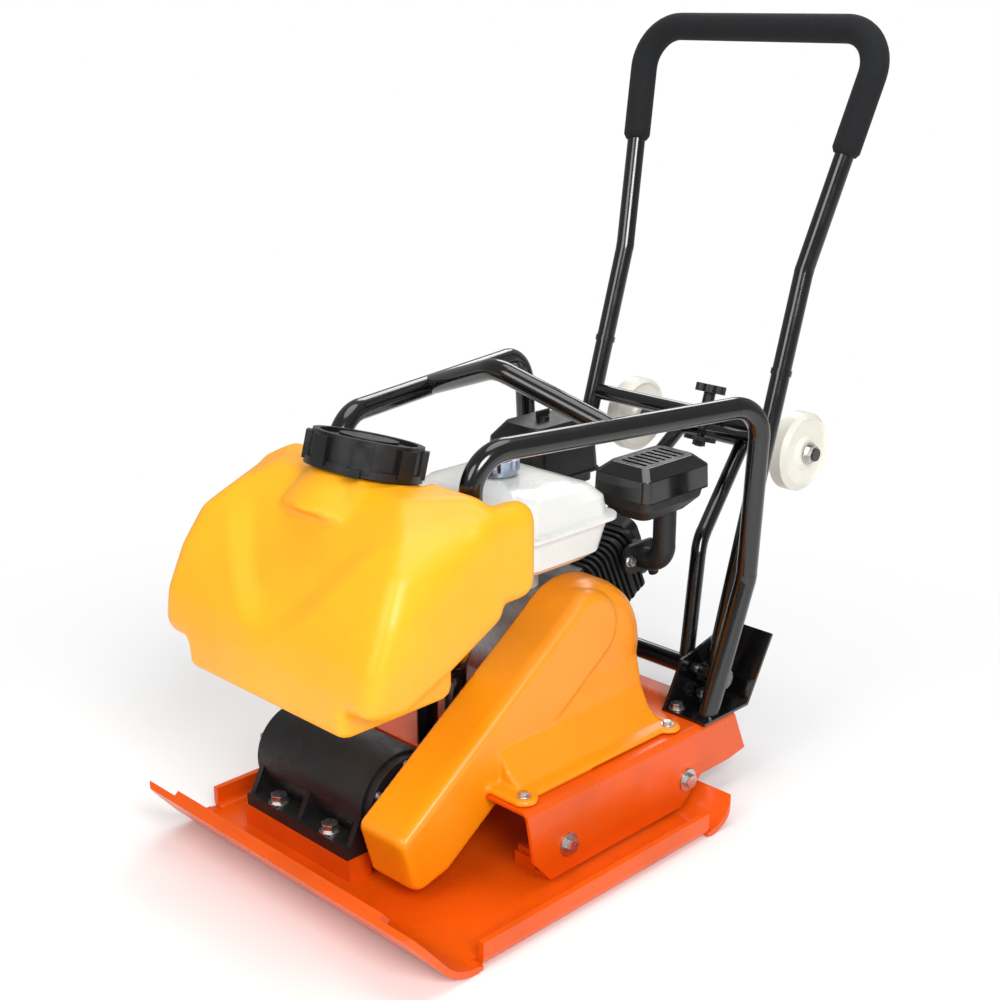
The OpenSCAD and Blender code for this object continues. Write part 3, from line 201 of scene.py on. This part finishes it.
# Section of the cover's flared skirt (sideways, up from the foot) and its two ends
COVER_SKIRT = (
    (0.050, 0),
    (0.172, 0),
    (0.172, 0.007),
    (0.152, 0.009),
    (0.134, 0.022),
    (0.121, 0.048),
    (0.112, 0.088),
    (0.050, 0.092),
)
COVER_SKIRT_ENDS = (-0.238, 0.023)

# Screw tabs of the cover: places along the foot, sideways, radius
COVER_TABS = (0.028, -0.236)
COVER_TAB_SIDE = 0.166
COVER_TAB_RADIUS = 0.017

# The cover is open below behind this, and open to the engine inside this
COVER_OPEN_BEHIND = -0.084
COVER_OPEN_INSIDE = 0.049
COVER_OPEN_MARGIN = 0.002

# Handle, in its own leaning frame: pivot, lean, the bend and the top corner (sideways, up)
HANDLE_PIVOT = (-0.348, 0, 0.153)
HANDLE_LEAN = math.radians(-16.8)
HANDLE_BEND = Vector((0, 0.152, 0.543))
HANDLE_TOP = Vector((0, 0.195, 0.855))
HANDLE_TOP_RADIUS = 0.052

# Foam sleeve: gap above the bend, ring spacing, points in a ring, and the rolled ends
GRIP_GAP = 0.153
GRIP_STEP = 0.006
GRIP_TURNS = 28
GRIP_ARC_STEPS = 14
GRIP_ROLL = 0.0035
GRIP_ROLL_LENGTH = 0.005


# Properties


def colour_prop(name, description, default):
    return FloatVectorProperty(
        name=name, description=description, subtype="COLOR", size=3, min=0, max=1, default=default
    )


def length_prop(name, description, default):
    return FloatProperty(
        name=name, description=description, subtype="DISTANCE", unit="LENGTH", default=default
    )


class CompactorColours(PropertyGroup):
    """Colours of the machine's finishes"""

    plate: colour_prop("Plate", "Powder coat on the base plate and deck", (0.86, 0.105, 0.002))
    cover: colour_prop("Belt cover", "Moulded belt cover", (1.0, 0.32, 0.002))
    tank: colour_prop("Water tank", "Moulded water tank", (0.97, 0.45, 0.007))
    tube: colour_prop("Tube", "Gloss paint on the tubes and brackets", (0.003, 0.003, 0.0035))
    casting: colour_prop(
        "Casting", "Paint on the exciter and cylinder castings", (0.006, 0.006, 0.0065)
    )
    plastic: colour_prop("Black plastic", "Caps, air cleaner and levers", (0.0045, 0.0045, 0.005))
    foam: colour_prop("Foam", "Sleeve on the handle", (0.006, 0.0065, 0.0075))
    enamel: colour_prop("Fuel tank", "White enamel on the fuel tank", (0.80, 0.80, 0.77))
    nylon: colour_prop("Wheels", "Nylon of the transport wheels", (0.83, 0.81, 0.72))


class CompactorSizes(PropertyGroup):
    """Sizes of the moulded pieces"""

    tank_round: length_prop("Tank round", "Radius of the water tank's corners", 0.022)
    tank_scoop: length_prop("Tank scoop", "Depth of the hollow in the water tank's front", 0.011)
    tank_voxel: length_prop("Tank detail", "Grid that the tank's skin is drawn on", 0.004)
    cover_voxel: length_prop("Cover detail", "Grid that the cover's skin is drawn on", 0.0026)
    cover_wall: length_prop("Cover wall", "Wall of the belt cover", 0.003)
    grip_radius: length_prop("Grip radius", "Outer radius of the foam sleeve", 0.0185)
    edge: length_prop("Edge", "Round on the edges of plates and castings", 0.0012)
    lens: FloatProperty(
        name="Lens", description="Focal length of the camera", default=55.82, unit="CAMERA"
    )
    tank_passes: IntProperty(
        name="Tank smoothing", description="Passes over the tank's skin", default=16, min=0
    )
    cover_passes: IntProperty(
        name="Cover smoothing", description="Passes over the cover's skin", default=3, min=0
    )


# Materials


def material(name, colour, rough, metal=0.0, coat=0.0, spec=0.5):
    """A principled material and its node tree, with the even values on the shader's own sockets"""
    mat = bpy.data.materials.new(name)
    mat.use_nodes = True
    bsdf = mat.node_tree.nodes["Principled BSDF"]
    bsdf.inputs["Base Color"].default_value = (*colour, 1)
    bsdf.inputs["Roughness"].default_value = rough
    bsdf.inputs["Metallic"].default_value = metal
    bsdf.inputs["Coat Weight"].default_value = coat
    bsdf.inputs["Coat Roughness"].default_value = COAT_ROUGH
    bsdf.inputs["Specular IOR Level"].default_value = spec
    mat.diffuse_color = (*colour, 1)
    return mat


def noise(mat, scale, detail=3.0, rough=0.5, stretch=(1, 1, 1)):
    """A noise texture in the piece's own metres"""
    nodes, links = mat.node_tree.nodes, mat.node_tree.links
    where = nodes.new("ShaderNodeTexCoord")
    place = nodes.new("ShaderNodeMapping")
    place.inputs["Scale"].default_value = stretch
    tex = nodes.new("ShaderNodeTexNoise")
    tex.inputs["Scale"].default_value = scale
    tex.inputs["Detail"].default_value = detail
    tex.inputs["Roughness"].default_value = rough
    links.new(where.outputs["Object"], place.inputs["Vector"])
    links.new(place.outputs["Vector"], tex.inputs["Vector"])
    return tex.outputs["Fac"]


def shade_range(mat, value, low, high):
    """Maps a texture onto the range that a socket needs"""
    node = mat.node_tree.nodes.new("ShaderNodeMapRange")
    node.inputs["From Min"].default_value = NOISE_LOW
    node.inputs["From Max"].default_value = NOISE_HIGH
    node.inputs["To Min"].default_value = low
    node.inputs["To Max"].default_value = high
    mat.node_tree.links.new(value, node.inputs["Value"])
    return node.outputs["Result"]


def scatter(mat, weight, radius):
    """Light that goes into a milky plastic and comes out again"""
    bsdf = mat.node_tree.nodes["Principled BSDF"]
    bsdf.inputs["Subsurface Weight"].default_value = weight
    bsdf.inputs["Subsurface Radius"].default_value = radius


def grain(mat, layers):
    """Bump from one or more noises: (scale, strength, depth)"""
    nodes, links = mat.node_tree.nodes, mat.node_tree.links
    last = None
    for scale, strength, depth in layers:
        bump = nodes.new("ShaderNodeBump")
        bump.inputs["Strength"].default_value = strength
        bump.inputs["Distance"].default_value = depth
        links.new(noise(mat, scale), bump.inputs["Height"])
        if last:
            links.new(last, bump.inputs["Normal"])
        last = bump.outputs["Normal"]
    links.new(last, nodes["Principled BSDF"].inputs["Normal"])


def gloss(mat, scale, low, high, stretch=(1, 1, 1)):
    """Roughness that drifts over the surface"""
    value = shade_range(mat, noise(mat, scale, DRIFT_DETAIL, 0.6, stretch), low, high)
    mat.node_tree.links.new(value, mat.node_tree.nodes["Principled BSDF"].inputs["Roughness"])


def mottle(mat, colour, other, scale, low=0.0, high=1.0):
    """Base colour that drifts between two shades"""
    nodes, links = mat.node_tree.nodes, mat.node_tree.links
    mix = nodes.new("ShaderNodeMix")
    mix.data_type = "RGBA"
    mix.inputs["A"].default_value = (*colour, 1)
    mix.inputs["B"].default_value = (*other, 1)
    links.new(shade_range(mat, noise(mat, scale, DRIFT_DETAIL), low, high), mix.inputs["Factor"])
    links.new(mix.outputs["Result"], nodes["Principled BSDF"].inputs["Base Color"])


def darker(colour, share):
    """A share of a colour, or a paler one if the share is above 1"""
    return tuple(c * share for c in colour)


def make_finishes(colours):
    """Every finish on the machine, by the record's slot names"""
    made = {}
    orange = material("orange powder coat", colours.plate, 0.3, coat=0.12, spec=0.35)
    made["orange_paint"] = orange
    mottle(orange, colours.plate, darker(colours.plate, 0.8), 9.0)
    gloss(orange, 14.0, 0.22, 0.42)
    grain(orange, [(420.0, 0.10, 0.0006), (38.0, 0.10, 0.0012)])

    cover = made["amber_cover"] = material("amber moulded cover", colours.cover, 0.34, coat=0.15)
    mottle(cover, colours.cover, darker(colours.cover, 0.88), 7.0)
    gloss(cover, 20.0, 0.28, 0.42)
    grain(cover, [(900.0, 0.05, 0.0004)])

    tank = made["amber_tank"] = material("yellow blow moulded tank", colours.tank, 0.4)
    scatter(tank, 0.12, (0.02, 0.01, 0.003))
    mottle(tank, colours.tank, (colours.tank[0], colours.tank[1] * 0.84, colours.tank[2]), 6.0)
    gloss(tank, 10.0, 0.34, 0.48)
    grain(tank, [(700.0, 0.06, 0.0005), (26.0, 0.08, 0.002)])

    tube = made["black_paint"] = material("gloss black tube paint", colours.tube, 0.16, coat=0.5)
    gloss(tube, 30.0, 0.10, 0.26)
    grain(tube, [(260.0, 0.06, 0.0006)])

    cast = made["cast_black"] = material("black painted casting", colours.casting, 0.5)
    mottle(cast, colours.casting, darker(colours.casting, 2.2), 40.0, 0.0, 0.7)
    gloss(cast, 60.0, 0.38, 0.62)
    grain(cast, [(330.0, 0.35, 0.001), (60.0, 0.15, 0.0015)])

    zinc = made["zinc"] = material("zinc plate", (0.62, 0.63, 0.64), 0.3, metal=1.0)
    mottle(zinc, (0.66, 0.67, 0.68), (0.50, 0.50, 0.46), 160.0)
    gloss(zinc, 240.0, 0.22, 0.42)

    steel = made["bright_steel"] = material("machined steel", (0.56, 0.57, 0.58), 0.3, metal=1.0)
    gloss(steel, 200.0, 0.2, 0.4, (1, 12, 1))

    rubber = made["black_rubber"] = material("black rubber", (0.014, 0.014, 0.015), 0.7)
    gloss(rubber, 50.0, 0.6, 0.85)
    grain(rubber, [(300.0, 0.12, 0.0006)])

    alloy = made["cast_alloy"] = material("cast aluminium", (0.52, 0.53, 0.54), 0.45, metal=1.0)
    mottle(alloy, (0.55, 0.56, 0.57), (0.40, 0.40, 0.40), 70.0)
    gloss(alloy, 120.0, 0.38, 0.58)
    grain(alloy, [(420.0, 0.3, 0.0008)])

    plastic = made["black_plastic"] = material("black moulded plastic", colours.plastic, 0.38)
    gloss(plastic, 60.0, 0.3, 0.48)
    grain(plastic, [(800.0, 0.12, 0.0005)])

    red = made["red_plastic"] = material("red switch plastic", (0.45, 0.012, 0.008), 0.32)
    gloss(red, 90.0, 0.26, 0.4)

    enamel = made["white_enamel"] = material("white enamel", colours.enamel, 0.22, coat=0.4)
    mottle(enamel, colours.enamel, darker(colours.enamel, 0.93), 8.0)
    gloss(enamel, 20.0, 0.16, 0.3)

    cap = made["fuel_cap_metal"] = material("blued fuel cap", (0.42, 0.50, 0.62), 0.28, metal=1.0)
    gloss(cap, 180.0, 0.2, 0.4)

    foam = made["grip_foam"] = material("grip foam", colours.foam, 0.85, spec=0.3)
    foam.node_tree.nodes["Principled BSDF"].inputs["Sheen Weight"].default_value = 0.04
    mottle(foam, colours.foam, darker(colours.foam, 1.8), 300.0, 0.0, 0.6)
    grain(foam, [(900.0, 0.5, 0.0012), (120.0, 0.2, 0.001)])

    nylon = made["white_nylon"] = material("milky nylon", colours.nylon, 0.34)
    scatter(nylon, 0.2, (0.01, 0.008, 0.005))
    mottle(nylon, colours.nylon, darker(colours.nylon, 0.9), 30.0)
    gloss(nylon, 60.0, 0.28, 0.44)
    return made


def finish_of(slot):
    """The material made for a slot of the record"""
    return bpy.data.materials[FINISH_NAMES[slot]]


# Mesh helpers


def mesh_piece(name, bm, slot, body, *nodes):
    """Turns a bmesh into a smooth piece that rides on a body and stands for CAD nodes"""
    mesh = bpy.data.meshes.new(name)
    bm.to_mesh(mesh)
    bm.free()
    obj = bpy.data.objects.new(name, mesh)
    bpy.context.scene.collection.objects.link(obj)
    mesh.polygons.foreach_set("use_smooth", [True] * len(mesh.polygons))
    mesh.materials.append(finish_of(slot))
    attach(obj, body)
    if nodes:
        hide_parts(*nodes)
    return obj


def add_loft(bm, rings):
    """A closed skin through rings of points that have the same count, with flat ends"""
    rows = [[bm.verts.new(p) for p in ring] for ring in rings]
    count = len(rows[0])
    for near, far in zip(rows, rows[1:]):
        for i in range(count):
            j = (i + 1) % count
            bm.faces.new((near[i], near[j], far[j], far[i]))
    bm.faces.new(list(reversed(rows[0])))
    bm.faces.new(rows[-1])


def add_box(bm, low, high):
    """A plain box, to be joined into a moulded skin"""
    mid = [(a + b) / 2 for a, b in zip(low, high)]
    size = [b - a for a, b in zip(low, high)]
    place = Matrix.Translation(mid) @ Matrix.Diagonal((*size, 1))
    bmesh.ops.create_cube(bm, size=1, matrix=place)


def moulded(bm, voxel, passes):
    """Joins overlapping solids into one skin and rounds it, as a blow moulding is round"""
    bmesh.ops.recalc_face_normals(bm, faces=bm.faces)
    mesh = bpy.data.meshes.new("mould")
    bm.to_mesh(mesh)
    bm.free()
    obj = bpy.data.objects.new("mould", mesh)
    bpy.context.scene.collection.objects.link(obj)
    grid = obj.modifiers.new("grid", "REMESH")
    grid.mode = "VOXEL"
    grid.voxel_size = voxel
    relax = obj.modifiers.new("relax", "SMOOTH")
    relax.factor = 0.5
    relax.iterations = passes
    graph = bpy.context.evaluated_depsgraph_get()
    done = bmesh.new()
    done.from_mesh(obj.evaluated_get(graph).to_mesh())
    bpy.data.objects.remove(obj)
    bpy.data.meshes.remove(mesh)
    return done


def add_hull(bm, centres, radius):
    """The tight skin round balls of one radius"""
    cloud = bmesh.new()
    for centre in centres:
        for row in range(BALL_ROWS + 1):
            tilt = math.pi * row / BALL_ROWS
            for step in range(1 if row in (0, BALL_ROWS) else BALL_TURNS):
                turn = 2 * math.pi * step / BALL_TURNS
                x, y = math.sin(tilt) * math.cos(turn), math.sin(tilt) * math.sin(turn)
                cloud.verts.new(Vector(centre) + Vector((x, y, math.cos(tilt))) * radius)
    bmesh.ops.convex_hull(cloud, input=list(cloud.verts))
    bmesh.ops.delete(cloud, geom=[v for v in cloud.verts if not v.link_faces], context="VERTS")
    mesh = bpy.data.meshes.new("hull")
    cloud.to_mesh(mesh)
    cloud.free()
    bm.from_mesh(mesh)
    bpy.data.meshes.remove(mesh)


def smooth_step(value):
    """Eases from 0 to 1"""
    value = max(0.0, min(1.0, value))
    return value * value * (3 - 2 * value)


def outline(circles, count):
    """The outline round a set of circles (x, z, radius), as points in even turns of direction"""
    points = []
    for k in range(count):
        turn = 2 * math.pi * k / count
        ux, uz = math.cos(turn), math.sin(turn)
        x, z, r = max(circles, key=lambda c: c[0] * ux + c[1] * uz + c[2])
        points.append((x + r * ux, z + r * uz))
    return points


def round_corners(points, radius, steps=5):
    """A closed drawing with its corners rounded"""
    made = []
    count = len(points)
    for i in range(count):
        here = Vector(points[i])
        before, after = Vector(points[i - 1]), Vector(points[(i + 1) % count])
        reach = min(radius, (before - here).length * 0.45, (after - here).length * 0.45)
        a = here + (before - here).normalized() * reach
        b = here + (after - here).normalized() * reach
        for k in range(steps + 1):
            t = k / steps
            made.append(tuple((1 - t) ** 2 * a + 2 * t * (1 - t) * here + t * t * b))
    return made


def bent_points(path, radius, steps):
    """Points along a path whose corners are arcs of one radius"""
    points = [Vector(path[0])]
    for before, here, after in zip(path, path[1:], path[2:]):
        here = Vector(here)
        u = (here - Vector(before)).normalized()
        v = (Vector(after) - here).normalized()
        turn = u.angle(v)
        inward = (v - u * v.dot(u)).normalized()
        start = here - u * radius * math.tan(turn / 2)
        centre = start + inward * radius
        for k in range(steps + 1):
            a = turn * k / steps
            points.append(centre - inward * radius * math.cos(a) + u * radius * math.sin(a))
    points.append(Vector(path[-1]))
    return points


def soften(node, width):
    """Rounds the sharp edges of a CAD node so that they catch the light"""
    obj = frame["nodes"][node]
    weld = obj.modifiers.new("weld", "WELD")
    weld.merge_threshold = WELD_GAP
    flat = obj.modifiers.new("flat", "DECIMATE")
    flat.decimate_type = "DISSOLVE"
    flat.angle_limit = FLAT_TURN
    edge = obj.modifiers.new("edge", "BEVEL")
    edge.width = width
    edge.segments = 2
    edge.limit_method = "ANGLE"
    edge.angle_limit = EDGE_TURN
    edge.use_clamp_overlap = True
    edge.harden_normals = False
    even = obj.modifiers.new("even", "WEIGHTED_NORMAL")
    even.keep_sharp = False


# Operators


class COMPACTOR_OT_camera(Operator):
    """Puts the camera where the photograph was taken from"""

    bl_idname = "compactor.camera"
    bl_label = "Camera"

    def execute(self, context):
        data = bpy.data.cameras.new("camera")
        data.lens = context.scene.compactor_sizes.lens
        data.sensor_width = SENSOR_WIDTH
        cam = bpy.data.objects.new("camera", data)
        cam.location = CAMERA_AT
        cam.rotation_euler = CAMERA_TURN
        context.scene.collection.objects.link(cam)
        context.scene.camera = cam
        return {"FINISHED"}


class COMPACTOR_OT_stage(Operator):
    """Makes the pale floor, the white surround and the soft lamps"""

    bl_idname = "compactor.stage"
    bl_label = "Stage"

    def floor_finish(self):
        """Pale floor that keeps the shadow near the machine and goes to white further out"""
        mat = material("pale floor", (0.9, 0.9, 0.9), 0.7, spec=0.1)
        nodes, links = mat.node_tree.nodes, mat.node_tree.links
        where = nodes.new("ShaderNodeTexCoord")
        reach = nodes.new("ShaderNodeVectorMath")
        reach.operation = "LENGTH"
        links.new(where.outputs["Object"], reach.inputs[0])
        far = nodes.new("ShaderNodeMapRange")
        far.interpolation_type = "SMOOTHSTEP"
        far.inputs["From Min"].default_value = FLOOR_SHADED
        far.inputs["From Max"].default_value = FLOOR_WHITE
        links.new(reach.outputs["Value"], far.inputs["Value"])
        rays = nodes.new("ShaderNodeLightPath")
        both = nodes.new("ShaderNodeMath")
        both.operation = "MULTIPLY"
        links.new(far.outputs["Result"], both.inputs[0])
        links.new(rays.outputs["Is Camera Ray"], both.inputs[1])
        white = nodes.new("ShaderNodeEmission")
        mix = nodes.new("ShaderNodeMixShader")
        links.new(both.outputs["Value"], mix.inputs["Fac"])
        links.new(nodes["Principled BSDF"].outputs["BSDF"], mix.inputs[1])
        links.new(white.outputs["Emission"], mix.inputs[2])
        links.new(mix.outputs["Shader"], nodes["Material Output"].inputs["Surface"])
        return mat

    def execute(self, context):
        scene = context.scene
        scene.view_settings.view_transform = "Standard"
        bm = bmesh.new()
        bmesh.ops.create_grid(bm, x_segments=1, y_segments=1, size=FLOOR_HALF)
        mesh = bpy.data.meshes.new("floor")
        bm.to_mesh(mesh)
        bm.free()
        floor = bpy.data.objects.new("floor", mesh)
        floor.location.z = -FLOOR_DROP
        scene.collection.objects.link(floor)
        mesh.materials.append(self.floor_finish())

        world = scene.world or bpy.data.worlds.new("surround")
        scene.world = world
        world.use_nodes = True
        nodes, links = world.node_tree.nodes, world.node_tree.links
        back = nodes["Background"]
        back.inputs["Color"].default_value = (1, 1, 1, 1)
        rays = nodes.new("ShaderNodeLightPath")
        seen = nodes.new("ShaderNodeMath")
        seen.operation = "MAXIMUM"
        links.new(rays.outputs["Is Camera Ray"], seen.inputs[0])
        links.new(rays.outputs["Is Transmission Ray"], seen.inputs[1])
        level = nodes.new("ShaderNodeMapRange")
        level.inputs["To Min"].default_value = SURROUND_LIGHT
        level.inputs["To Max"].default_value = SURROUND_SEEN
        links.new(seen.outputs["Value"], level.inputs["Value"])
        links.new(level.outputs["Result"], back.inputs["Strength"])

        for name, place, size, power in LAMPS:
            light = bpy.data.lights.new(name, "AREA")
            light.shape = "DISK"
            light.size = size
            light.energy = power
            lamp = bpy.data.objects.new(name, light)
            lamp.location = place
            aim = LAMP_AIM - Vector(place)
            lamp.rotation_euler = aim.to_track_quat("-Z", "Y").to_euler()
            scene.collection.objects.link(lamp)
        return {"FINISHED"}


class COMPACTOR_OT_finishes(Operator):
    """Makes the finishes and gives each CAD piece its own"""

    bl_idname = "compactor.finishes"
    bl_label = "Finishes"

    def execute(self, context):
        for slot, mat in make_finishes(context.scene.compactor_colours).items():
            FINISH_NAMES[slot] = mat.name
        for part in frame["record"]["subparts"]:
            obj = frame["nodes"][part["node"]]
            obj.data.materials.clear()
            obj.data.materials.append(finish_of(part["material_slot"]))
        return {"FINISHED"}


class COMPACTOR_OT_edges(Operator):
    """Rounds the edges of plates, castings and fasteners"""

    bl_idname = "compactor.edges"
    bl_label = "Edges"

    def execute(self, context):
        edge = context.scene.compactor_sizes.edge
        for node in EDGE_NODES:
            soften(node, edge)
        for node in SMALL_EDGE_NODES:
            soften(node, edge * SMALL_EDGE_SHARE)
        return {"FINISHED"}


class COMPACTOR_OT_water_tank(Operator):
    """Moulds the water tank: leaning front, foot, wings at the back, neck and scooped front"""

    bl_idname = "compactor.water_tank"
    bl_label = "Water tank"

    def execute(self, context):
        sizes = context.scene.compactor_sizes
        bm = bmesh.new()
        body = [(x, side * y, z) for x, y, z in TANK_BODY for side in (-1, 1)]
        add_hull(bm, body, sizes.tank_round)
        for vert in bm.verts:
            vert.co.x = max(vert.co.x, TANK_REAR)
        for side in (-1, 1):
            wing = [(x, side * WING_SIDE, z) for x in WING_FORWARD for z in WING_UP]
            add_hull(bm, wing, sizes.tank_round)
        foot = round_corners(TANK_FOOT, TANK_FOOT_ROUND)
        add_loft(bm, [[(x, y, z) for x, z in foot] for y in (-TANK_FOOT_HALF, TANK_FOOT_HALF)])
        neck = Matrix.Translation(NECK_AT) @ Matrix.Rotation(NECK_LEAN, 4, "Y")
        bmesh.ops.create_cone(
            bm,
            cap_ends=True,
            segments=48,
            radius1=COLLAR_LOW_RADIUS,
            radius2=COLLAR_TOP_RADIUS,
            depth=COLLAR_TALL,
            matrix=neck @ Matrix.Translation((0, 0, COLLAR_MIDDLE)),
        )
        skin = moulded(bm, sizes.tank_voxel, sizes.tank_passes)
        for vert in skin.verts:
            x, y, z = vert.co
            if abs(y) < TANK_REAR_HALF:
                vert.co.x = max(x, TANK_REAR)
            if x > SCOOP_FORWARD:
                rise = (z - SCOOP_LOW) / SCOOP_TALL
                wide = SCOOP_TIP + SCOOP_SPREAD * max(0.0, rise) ** SCOOP_CURVE
                inside = smooth_step((wide - abs(y)) / SCOOP_EDGE) * smooth_step(rise / SCOOP_FADE_IN)
                fade = smooth_step((SCOOP_END - rise) / SCOOP_FADE_OUT)
                vert.co.x -= sizes.tank_scoop * inside * fade
        flat = neck.inverted()
        for vert in skin.verts:
            local = flat @ vert.co
            if math.hypot(local.x, local.y) < SEAT_RADIUS and local.z > SEAT_HEIGHT:
                local.z = SEAT_HEIGHT
                vert.co = neck @ local
        mesh_piece("water_tank_skin", skin, "amber_tank", CHASSIS, "water_tank")
        return {"FINISHED"}


class COMPACTOR_OT_belt_cover(Operator):
    """Moulds the belt cover: round shoulder, blunt nose, flared skirt and foot with two tabs"""

    bl_idname = "compactor.belt_cover"
    bl_label = "Belt cover"

    def execute(self, context):
        sizes = context.scene.compactor_sizes
        bm = bmesh.new()
        arm = []
        for y, inset in COVER_ARM:
            half = inset * 0.5
            circles = [
                (-0.143, 0.266, 0.050 - inset),
                (0.166 - half, 0.096 - half, 0.012),
                (0.150 - half, 0.040 + half, 0.012),
                (0.112, 0.048 + half, 0.012),
            ]
            arm.append([(x, y, z) for x, z in outline(circles, 120)])
        add_loft(bm, arm)
        dome = []
        for y, radius in COVER_DOME:
            dome.append([(x, y, z) for x, z in outline([(*COVER_DOME_AT, radius)], 96)])
        add_loft(bm, dome)
        section = [(y, COVER_FOOT + up) for y, up in COVER_SKIRT]
        add_loft(bm, [[(x, y, z) for y, z in section] for x in COVER_SKIRT_ENDS])
        (inside, outside), (behind, ahead) = COVER_FOOT_SIDES, COVER_FOOT_ENDS
        add_box(bm, (behind, inside, COVER_FOOT), (ahead, outside, COVER_FOOT + COVER_FOOT_TALL))
        for x in COVER_TABS:
            middle = (x, COVER_TAB_SIDE, COVER_FOOT + COVER_FOOT_TALL / 2)
            bmesh.ops.create_cone(
                bm,
                cap_ends=True,
                segments=32,
                radius1=COVER_TAB_RADIUS,
                radius2=COVER_TAB_RADIUS,
                depth=COVER_FOOT_TALL,
                matrix=Matrix.Translation(middle),
            )
        skin = moulded(bm, sizes.cover_voxel, sizes.cover_passes)
        opened = []
        for face in skin.faces:
            x, y, z = face.calc_center_median()
            below = z < COVER_FOOT + COVER_OPEN_MARGIN and x < COVER_OPEN_BEHIND
            if below or y < COVER_OPEN_INSIDE:
                opened.append(face)
        bmesh.ops.delete(skin, geom=opened, context="FACES")
        cover = mesh_piece("belt_cover_skin", skin, "amber_cover", CHASSIS, "belt_cover")
        wall = cover.modifiers.new("wall", "SOLIDIFY")
        wall.thickness = sizes.cover_wall
        wall.offset = -1
        return {"FINISHED"}


class COMPACTOR_OT_foam_grip(Operator):
    """Draws the foam sleeve along the top of the handle, with rolled ends"""

    bl_idname = "compactor.foam_grip"
    bl_label = "Foam grip"

    def execute(self, context):
        radius = context.scene.compactor_sizes.grip_radius
        place = Matrix.Translation(HANDLE_PIVOT) @ Matrix.Rotation(HANDLE_LEAN, 4, "Y")
        low = HANDLE_BEND + (HANDLE_TOP - HANDLE_BEND).normalized() * GRIP_GAP
        across = Vector((1, -1, 1))
        path = [low, HANDLE_TOP, HANDLE_TOP * across, low * across]
        points = bent_points(path, HANDLE_TOP_RADIUS, GRIP_ARC_STEPS)
        dense = []
        for a, b in zip(points, points[1:]):
            steps = max(1, round((b - a).length / GRIP_STEP))
            dense += [a.lerp(b, k / steps) for k in range(steps)]
        dense.append(points[-1])
        total = sum((b - a).length for a, b in zip(dense, dense[1:]))
        bm = bmesh.new()
        rings, run = [], 0.0
        for i, p in enumerate(dense):
            if i:
                run += (p - dense[i - 1]).length
            ahead = (dense[min(i + 1, len(dense) - 1)] - dense[max(i - 1, 0)]).normalized()
            out = Vector((1, 0, 0))
            up = ahead.cross(out).normalized()
            end = min(run, total - run)
            inward = 1 - min(1.0, end / GRIP_ROLL_LENGTH)
            reach = radius - GRIP_ROLL * (1 - math.sqrt(max(0.0, 1 - inward**2)))
            turns = [2 * math.pi * k / GRIP_TURNS for k in range(GRIP_TURNS)]
            ring = [p + (out * math.cos(turn) + up * math.sin(turn)) * reach for turn in turns]
            rings.append([place @ point for point in ring])
        add_loft(bm, rings)
        bmesh.ops.recalc_face_normals(bm, faces=bm.faces)
        grip = mesh_piece("foam_sleeve", bm, "grip_foam", HANDLE, "foam_grip")
        return {"FINISHED"}


class COMPACTOR_PT_panel(Panel):
    """Lists the compactor's colours, sizes and pieces"""

    bl_idname = "COMPACTOR_PT_panel"
    bl_label = "Plate compactor"
    bl_space_type = "VIEW_3D"
    bl_region_type = "UI"
    bl_category = "Compactor"

    def draw(self, context):
        for group in (context.scene.compactor_colours, context.scene.compactor_sizes):
            for name in group.bl_rna.properties.keys():
                if name not in {"rna_type", "name"}:
                    self.layout.prop(group, name)
        for step in STEPS:
            self.layout.operator(step.bl_idname)


STEPS = (
    COMPACTOR_OT_camera,
    COMPACTOR_OT_stage,
    COMPACTOR_OT_finishes,
    COMPACTOR_OT_edges,
    COMPACTOR_OT_water_tank,
    COMPACTOR_OT_belt_cover,
    COMPACTOR_OT_foam_grip,
)
CLASSES = (CompactorColours, CompactorSizes, *STEPS, COMPACTOR_PT_panel)


def register():
    for cls in CLASSES:
        bpy.utils.register_class(cls)
    bpy.types.Scene.compactor_colours = PointerProperty(type=CompactorColours)
    bpy.types.Scene.compactor_sizes = PointerProperty(type=CompactorSizes)


def unregister():
    del bpy.types.Scene.compactor_sizes
    del bpy.types.Scene.compactor_colours
    for cls in reversed(CLASSES):
        bpy.utils.unregister_class(cls)


def main():
    register()
    for step in STEPS:
        group, name = step.bl_idname.split(".")
        getattr(getattr(bpy.ops, group), name)()


if __name__ == "__main__":
    main()
